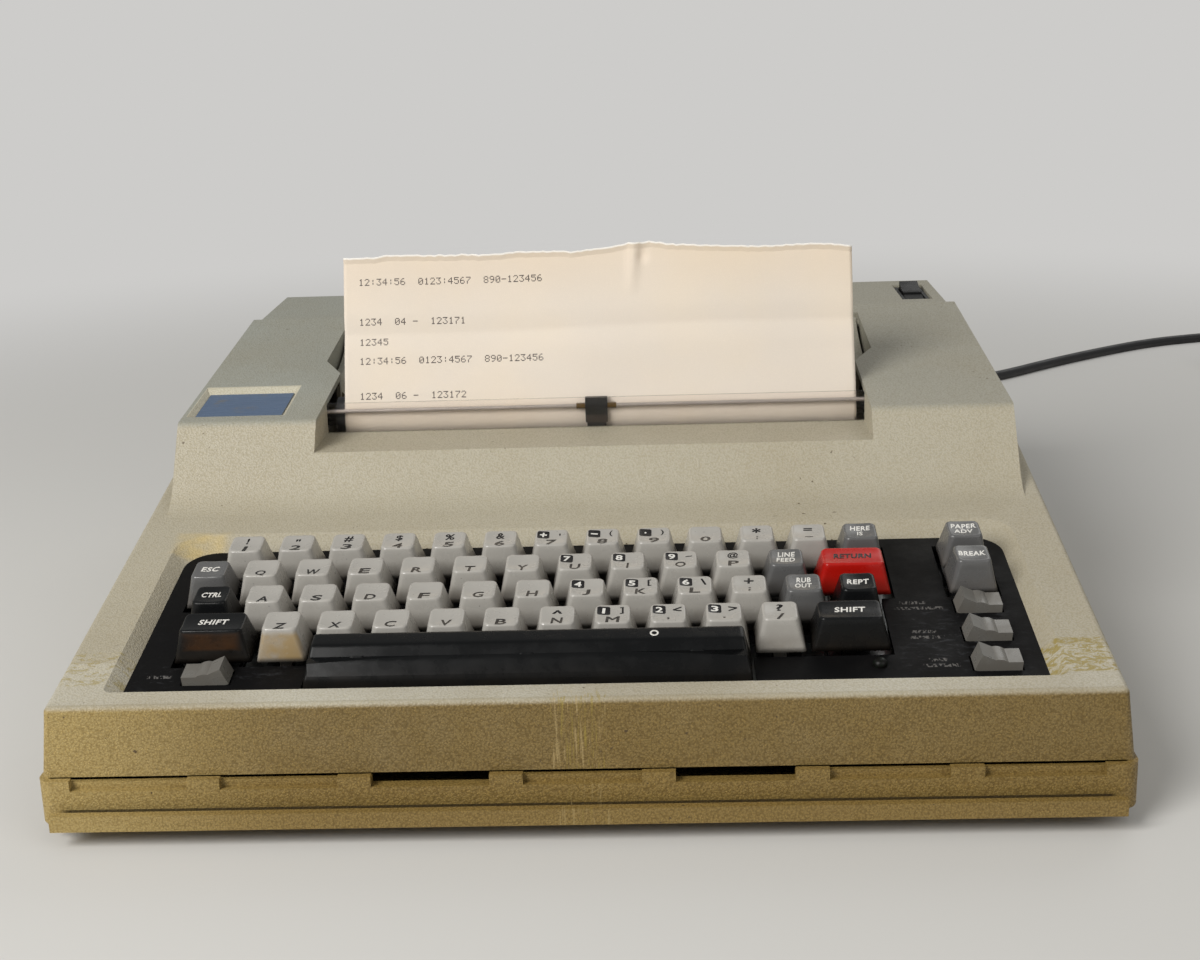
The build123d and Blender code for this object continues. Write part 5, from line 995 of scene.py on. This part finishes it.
def sheet_lift(x, run):
    """How far the paper stands proud of its path: creases, waves and the strip bent at the torn edge.

    A crease is -|distance| held within its width, a dent is a bell, and a wave is a sine along or across.
    """
    crease = MM * settings("paper").crease
    grown = np.clip((run - 9) / 14, 0, 1)
    fold_run = 35.3 + 0.010 * x + 0.5 * np.sin(x / 31)
    fold = -0.75 * np.clip(1 - np.abs(run - fold_run) / 9, 0, 1) ** 1.5
    upright = 0.9 * np.exp(-(((x - 17.5 - 0.08 * (run - 60)) / 2.2) ** 2)) * np.clip((run - 48) / 14, 0, 1)
    dent = -1.0 * np.exp(-(((x - 21.5) / 1.7) ** 2 + ((run - 65) / 3.0) ** 2))
    crinkle = 0.45 * np.exp(-((x + 30 + 1.4 * (run - 16)) ** 2) / 90) * np.exp(-((run - 16) ** 2) / 40)
    waves = 0.55 * np.sin(x / 26 + 0.6) * np.sin(run / 21) + 0.25 * np.sin(x / 11 + run / 15)
    strip = np.maximum(run - torn_run(x) + 2.4, 0) * 0.5
    return grown * (crease * (fold + upright + dent + crinkle + waves)) + strip


def paper_mesh():
    """Paper as two grids half a thickness either side of its path, with the four borders closed."""
    rows, top_rows, columns, plain_run = 170, 50, 150, 58.0
    half = MM * settings("paper").thickness / 2
    x = SHEET_MIDDLE + SHEET_HALF * np.linspace(-1, 1, columns)
    lowest = -SHEET_LOWER_RUN - SHEET_RADIUS * (SHEET_WRAP + SHEET_LEAN)
    top = torn_run(x)
    steady = np.linspace(lowest, plain_run, rows - top_rows)
    upper = plain_run + np.linspace(0, 1, top_rows + 1)[1:, None] * (top[None] - plain_run)
    run = np.concatenate((np.repeat(steady[:, None], columns, 1), upper))
    across = np.repeat(x[None], rows, 0)
    lift = sheet_lift(across, run)
    front, rear = sheet_point(across, run, lift + half), sheet_point(across, run, lift - half)
    rise = (run - lowest) / (top[None] - lowest)
    uv = np.stack((np.repeat(((x - x[0]) / (x[-1] - x[0]))[None], rows, 0), rise), -1).reshape(-1, 2)
    points = np.concatenate((front.reshape(-1, 3), rear.reshape(-1, 3)))
    face = quads(rows, columns, False)
    size = rows * columns
    border = np.concatenate((np.arange(columns), np.arange(1, rows) * columns + columns - 1,
                             size - 2 - np.arange(columns - 1), (rows - 2 - np.arange(rows - 2)) * columns))
    following = np.roll(border, -1)
    rim = np.stack((following, border, border + size, following + size), -1)
    return points, [np.concatenate((face, face[:, ::-1] + size, rim))], np.concatenate((uv, uv))


def print_mesh():
    """Printed dots as small squares with cut corners, just proud of the paper, ten characters to the inch."""
    dot, half = MM * settings("paper").dot, MM * settings("paper").thickness / 2
    spots = []
    for height, words in PRINT_LINES:
        for place, sign in enumerate(words):
            if sign != " ":
                bits = np.array([[int(b) for b in row] for row in DIGIT_DOTS[sign].split()])
                row, column = np.nonzero(bits)
                across = PRINT_LEFT + place * CHARACTER_PITCH + column * DOT_STEP
                spots.append(np.stack((across, MOUTH_RUN + height + (3 - row) * DOT_RISE), -1))
    spots = np.concatenate(spots)
    near = 0.6
    corner = np.array(((-1, -near), (-near, -1), (near, -1), (1, -near),
                       (1, near), (near, 1), (-near, 1), (-1, near)))
    flat = spots[:, None] + corner[None] * dot / 2
    x, run = flat[..., 0], flat[..., 1]
    points = sheet_point(x, run, sheet_lift(x, run) + half + 0.02).reshape(-1, 3)
    return points, [np.arange(len(points)).reshape(-1, 8)]


def cord_line():
    """Control points of the cord: its route, then half turns of the coil with six points each.

    A point of a half turn is its middle + k * r * (side * sin a, cos a), where k = 1 / cos(15 degrees) puts
    the polygon's sides, and so the smooth line, on the radius r.
    """
    route = [np.array(CORD_ROUTE)]
    back, level = COIL_BACK, CORD_REST
    share = (np.arange(6) + 0.5) / 6
    for count, radius in enumerate(COIL_RADII):
        side = 1 if count % 2 == 0 else -1
        lift = COIL_LIFT if count == COIL_CLIMB else 0.0
        reach = radius / math.cos(math.pi / 12)
        x = COIL_MIDDLE + side * reach * np.sin(math.pi * share)
        y = back - side * radius + side * reach * np.cos(math.pi * share)
        z = level + lift * (1 - np.cos(math.pi * share)) / 2
        route.append(np.stack((x, y, z), -1))
        back, level = back - side * 2 * radius, level + lift
    route.append(np.array(((COIL_MIDDLE, back, level), (COIL_MIDDLE - CORD_END, back, level))))
    return (np.concatenate(route) - np.array((0.0, REAR_SHIFT, 0.0))) / MM


def place_camera(scene):
    """Camera at the photograph's view."""
    eye = bpy.data.cameras.new("view")
    eye.sensor_width, eye.lens = 36.0, LENS
    eye.clip_start, eye.clip_end = 0.02, 60.0
    camera = add("view", eye)
    right = Vector(EYE_RIGHT)
    back = right.cross(Vector(EYE_UP)).normalized()
    turn = Matrix((right, back.cross(right), back)).transposed().to_4x4()
    camera.matrix_world = Matrix.Translation(EYE) @ turn
    scene.camera = camera


def lay_floor(stage):
    """Round floor: rings of points round one in the middle. Far off, the camera sees it as the backdrop."""
    finish = Finish("pale floor", stage.floor, 0.85)
    away = finish.node("ShaderNodeVectorMath", {0: finish.place}, operation="LENGTH").outputs["Value"]
    seen = finish.node("ShaderNodeLightPath").outputs["Is Camera Ray"]
    glow = finish.node("ShaderNodeEmission", {0: linear(stage.backdrop)})
    faded = finish.both(finish.ramp(away, *FLOOR_FADE), seen)
    shaders = {0: faded, 1: finish.shader.outputs[0], 2: glow.outputs[0]}
    joined = finish.node("ShaderNodeMixShader", shaders)
    finish.tree.links.new(joined.outputs[0], finish.tree.nodes["Material Output"].inputs["Surface"])
    radius = np.array(FLOOR_RADII)[:, None]
    angle = np.linspace(0, 2 * math.pi, FLOOR_SIDES, endpoint=False)[None]
    ring = np.stack((radius * np.cos(angle), radius * np.sin(angle), np.zeros_like(radius * angle)), -1)
    points = np.concatenate((ring.reshape(-1, 3), ((0, 0, 0),)))
    rings = quads(len(FLOOR_RADII), FLOOR_SIDES)[:, ::-1]
    middle = fan(0, FLOOR_SIDES, len(points) - 1, True)
    mesh = bpy.data.meshes.new("floor")
    mesh.from_pydata(points.tolist(), [], [*rings.tolist(), *middle.tolist()])
    mesh.materials.append(finish.material)
    add("floor", mesh)


def hang_lamps(stage):
    """Round soft lamps that look at the terminal."""
    for name, spot, width, key_share, fill_share, tone in LAMPS:
        light = bpy.data.lights.new(name, "AREA")
        light.shape, light.size, light.color = "DISK", width, tone
        light.energy = key_share * stage.key_power + fill_share * stage.fill_power
        lamp = add(name, light)
        lamp.visible_camera = False
        turn = (Vector(LAMP_AIM) - Vector(spot)).to_track_quat("-Z", "Y").to_matrix().to_4x4()
        lamp.matrix_world = Matrix.Translation(spot) @ turn


def light_sky(scene, stage):
    """Even light from all sides, which the camera sees as the backdrop."""
    world = bpy.data.worlds.new("pale room")
    scene.world = world
    world.use_nodes = True
    nodes = world.node_tree.nodes
    light, seen = nodes["Background"], nodes.new("ShaderNodeBackground")
    light.inputs["Strength"].default_value = stage.sky
    light.inputs["Color"].default_value = linear((0.97, 0.97, 0.96))
    seen.inputs["Color"].default_value = linear(stage.backdrop)
    mix, path = nodes.new("ShaderNodeMixShader"), nodes.new("ShaderNodeLightPath")
    for place, source in enumerate((path.outputs["Is Camera Ray"], light.outputs[0], seen.outputs[0])):
        world.node_tree.links.new(source, mix.inputs[place])
    world.node_tree.links.new(mix.outputs[0], nodes["World Output"].inputs["Surface"])


class TERMINAL_OT_stage(bpy.types.Operator):
    """Floor, lamps, sky and the camera at the photograph's view"""

    bl_idname = "terminal.stage"
    bl_label = "Stage and Camera"

    def execute(self, context):
        stage = settings("stage")
        context.scene.view_settings.view_transform = "Standard"
        place_camera(context.scene)
        lay_floor(stage)
        hang_lamps(stage)
        light_sky(context.scene, stage)
        return {"FINISHED"}


class TERMINAL_OT_cord(bpy.types.Operator):
    """Power cord on the desk and its put-away coil, as one smooth line, with its plug and relief"""

    bl_idname = "terminal.cord"
    bl_label = "Power Cord"

    def execute(self, context):
        cord = settings("cord")
        points = cord_line()
        curve = bpy.data.curves.new("power_cord_line", "CURVE")
        curve.dimensions = "3D"
        line = curve.splines.new("NURBS")
        line.points.add(len(points) - 1)
        line.points.foreach_set("co", np.column_stack((points, np.ones(len(points)))).ravel())
        line.order_u, line.resolution_u = 3, 8
        line.use_endpoint_u = True
        curve.bevel_depth, curve.bevel_resolution = cord.diameter / 2, 5
        curve.use_fill_caps = True
        jacket = plain_finish("cord jacket", cord.jacket, 0.44, size=0.02, depth=0.00003, wear=0.3)
        curve.materials.append(jacket.material)
        made = add("power_cord_line", curve)
        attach(made, "base")
        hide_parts("power_cord", "cord_coil")
        give_plain("cord")
        give(plug_finish(), "power_plug")
        return {"FINISHED"}


class TERMINAL_OT_case(bpy.types.Operator):
    """Case plastics, name foil, screws, feet and rear panel"""

    bl_idname = "terminal.case"
    bl_label = "Case"

    def execute(self, context):
        give(case_plastic("case plastic", True), "upper_housing", "paper_door")
        # The lower housing's tone is yellowed and painted darker as shade
        give(case_plastic("aged case plastic", False), "lower_housing")
        give(foil_finish(), "nameplate")
        give_plain("case")
        return {"FINISHED"}


class TERMINAL_OT_keyboard(bpy.types.Operator):
    """Bezel plate, rockers, lamp, switches and what carries them"""

    bl_idname = "terminal.keyboard"
    bl_label = "Keyboard Bed"

    def execute(self, context):
        keys = settings("keys")
        give(plate_finish(), "keyboard_plate")
        give(lamp_finish(), "status_led")
        give(cap_plastic("rocker plastic", keys.rocker, 0.2), *ROCKERS)
        give(cap_plastic("power rocker plastic", (0.05, 0.05, 0.052), 0.1, 0.15), "power_rocker")
        give(board_finish("keyboard circuit"), "keyboard_board")
        give_plain("keyboard")
        return {"FINISHED"}


class TERMINAL_OT_key_caps(bpy.types.Operator):
    """All key caps: dished tops, rounded rims and flared skirts"""

    bl_idname = "terminal.key_caps"
    bl_label = "Key Caps"

    def execute(self, context):
        keys = settings("keys")
        finishes = {"grey": (cap_plastic("grey caps", keys.function, 0.25, 0.5), "cap_grey"),
                    "red": (cap_plastic("red cap", keys.send, 0.15, 0.35), "cap_red"),
                    "black": (cap_plastic("black caps", keys.shift, 0.1, 0.2), "cap_black")}
        for name, column, row, units, _, _, kind in SPECIAL_KEYS:
            finish, slot = finishes[kind]
            caps(name, [(key_x(column), key_y(row))], units, finish)
        pale = cap_plastic("pale caps", keys.letter, 0.42)
        for name, first, row, lower, _, _, _ in CHARACTER_ROWS:
            places = [(key_x(first + i), key_y(row)) for i in range(len(lower))]
            caps(name, places, 1, pale)
        return {"FINISHED"}


class TERMINAL_OT_space_bar(bpy.types.Operator):
    """Space bar and its ring mark"""

    bl_idname = "terminal.space_bar"
    bl_label = "Space Bar"

    def execute(self, context):
        keys = settings("keys")
        points, squares, triangles = space_bar_mesh()
        finish = cap_plastic("space bar plastic", shade(keys.shift, 0.9), 0.04, 0.13)
        bar = piece("space_bar_cap", on_keys(points), [squares, triangles], finish, "space_bar")
        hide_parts("space_bar")
        angle = np.linspace(0, 2 * math.pi, 40, endpoint=False)
        radius = np.array((1.5, 1.5, 0.86, 0.86))[:, None]
        level = np.array((-0.08, 0.1, 0.1, -0.08))[:, None] * np.ones_like(angle)[None]
        x = RING_MARK[0] + radius * np.cos(angle)
        y = RING_MARK[1] + 1.25 * radius * np.sin(angle)
        ring = np.stack((x, y, level), -1)
        pale = cap_plastic("pale legends on black", keys.pale_print, 0.0)
        piece("space_bar_mark", on_keys(ring.reshape(-1, 3)), [quads(4, 40)], pale, "space_bar")
        return {"FINISHED"}


def word_legend(words, width, heavy):
    """Words of a function cap, in one line or two; heavy ones are bolder and stand higher."""
    height = 3.0 if "\n" in words else 3.3
    weight, relief = (0.034, 0.09) if heavy else (0.024, 0.05)
    return letters(words, width, height, 0.1, weight, relief)


def row_legends(first, row, lower, upper, beside, badges):
    """Signs, badges and badge numbers of one row of pale caps, as three lists of shapes on their caps."""
    signs, plates, numbers = [], [], []
    for i, sign in enumerate(lower):
        size = SIGN_WIDTHS.get(sign, LETTER_WIDTH), SIGN_HEIGHTS.get(sign, LETTER_HEIGHT)
        signs.append(on_cap(letters(sign, *size, SIGN_SLANT, SIGN_WEIGHT), first + i, row, *LOWER_PLACE))
        if upper[i] != ".":
            size = SIGN_WIDTHS[upper[i]], SIGN_HEIGHTS.get(upper[i], SIGN_HEIGHT)
            shape = letters(upper[i], *size, SIGN_SLANT, SIGN_WEIGHT)
            signs.append(on_cap(shape, first + i, row, *UPPER_PLACE))
    for i, sign in beside.items():
        shape = letters(sign, SIGN_WIDTHS[sign], SIGN_HEIGHTS.get(sign, SIGN_HEIGHT), 0.0, 0.018)
        signs.append(on_cap(shape, first + i, row, *BESIDE_PLACE))
    for i, sign in badges.items():
        plates.append(on_cap(badge(*BADGE_HALF), first + i, row, *BADGE_PLACE))
        shape = letters(sign, *BADGE_SIZES.get(sign, BADGE_SIZE), 0.06, 0.024, 0.07)
        numbers.append(on_cap(shape, first + i, row, *BADGE_PLACE))
    return signs, plates, numbers


class TERMINAL_OT_legends(bpy.types.Operator):
    """Legends of the caps: letters, signs, badges of the number pad and words of the function keys"""

    bl_idname = "terminal.legends"
    bl_label = "Key Legends"

    def execute(self, context):
        keys = settings("keys")
        dark = cap_plastic("dark legends", keys.dark_print, 0.0, 0.3), "cap_black"
        pale = cap_plastic("pale legends", keys.pale_print, 0.0), "cap_beige"
        for name, column, row, units, words, width, kind in SPECIAL_KEYS:
            shape = word_legend(words, width, kind == "red")
            points, faces = merged([on_cap(shape, column, row, *WORD_PLACE, units)])
            finish, slot = dark if kind == "red" else pale
            piece(name + "_legend", points, faces, finish, name, False)
        for name, first, row, *signs in CHARACTER_ROWS:
            kinds = ("legends", dark), ("badges", dark), ("badge_numbers", pale)
            for (part, (finish, slot)), shapes in zip(kinds, row_legends(first, row, *signs)):
                points, faces = merged(shapes)
                piece(name + "_" + part, points, faces, finish, name, False)
        return {"FINISHED"}


class TERMINAL_OT_printer(bpy.types.Operator):
    """Printer, platen, carriage and drive behind the tear bar"""

    bl_idname = "terminal.printer"
    bl_label = "Printer"

    def execute(self, context):
        give(clear_finish(), "paper_window")
        give(head_finish(), "print_head")
        give(laminated_finish(), "power_transformer")
        give(board_finish("main circuit"), "main_board")
        give(roll_finish(), "paper_roll")
        give_plain("printer")
        return {"FINISHED"}


class TERMINAL_OT_paper(bpy.types.Operator):
    """Creased paper with its torn edge, and the faded printing on it"""

    bl_idname = "terminal.paper"
    bl_label = "Paper"

    def execute(self, context):
        points, faces, uv = paper_mesh()
        made = piece("paper", points, faces, paper_finish(), "base", True, uv)
        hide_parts("paper_sheet")
        points, faces = print_mesh()
        ink = plain_finish("faded print", settings("paper").ink, 0.7, size=0.01, depth=0.00001, wear=0.5)
        piece("printing", points, faces, ink, "base", False)
        return {"FINISHED"}


class TERMINAL_PT_parts(bpy.types.Panel):
    """Lists the settings and the parts"""

    bl_label = "Printing Terminal"
    bl_idname = "TERMINAL_PT_parts"
    bl_space_type = "VIEW_3D"
    bl_region_type = "UI"
    bl_category = "Terminal"

    def draw(self, context):
        for name in GROUPS:
            box = self.layout.box()
            box.label(text=name.title())
            group = settings(name)
            for field in group.__annotations__:
                box.prop(group, field)
        for operator in OPERATORS:
            self.layout.operator(operator.bl_idname)


GROUPS = {"case": CaseSettings, "keys": KeySettings, "paper": PaperSettings, "cord": CordSettings,
          "stage": StageSettings}
OPERATORS = (TERMINAL_OT_stage, TERMINAL_OT_cord, TERMINAL_OT_case, TERMINAL_OT_keyboard,
             TERMINAL_OT_key_caps, TERMINAL_OT_space_bar, TERMINAL_OT_legends, TERMINAL_OT_printer,
             TERMINAL_OT_paper)
CLASSES = (*GROUPS.values(), *OPERATORS, TERMINAL_PT_parts)


def register():
    """Adds the classes, and the groups of settings to the scene."""
    for kind in CLASSES:
        bpy.utils.register_class(kind)
    for name, kind in GROUPS.items():
        setattr(bpy.types.Scene, "terminal_" + name, PointerProperty(type=kind))


def unregister():
    """Takes the classes and the groups away again."""
    for name in GROUPS:
        delattr(bpy.types.Scene, "terminal_" + name)
    for kind in reversed(CLASSES):
        bpy.utils.unregister_class(kind)


def main():
    """Makes every part in turn."""
    register()
    bpy.ops.terminal.stage()
    bpy.ops.terminal.cord()
    bpy.ops.terminal.case()
    bpy.ops.terminal.keyboard()
    bpy.ops.terminal.key_caps()
    bpy.ops.terminal.space_bar()
    bpy.ops.terminal.legends()
    bpy.ops.terminal.printer()
    bpy.ops.terminal.paper()


if __name__ == "__main__":
    main()
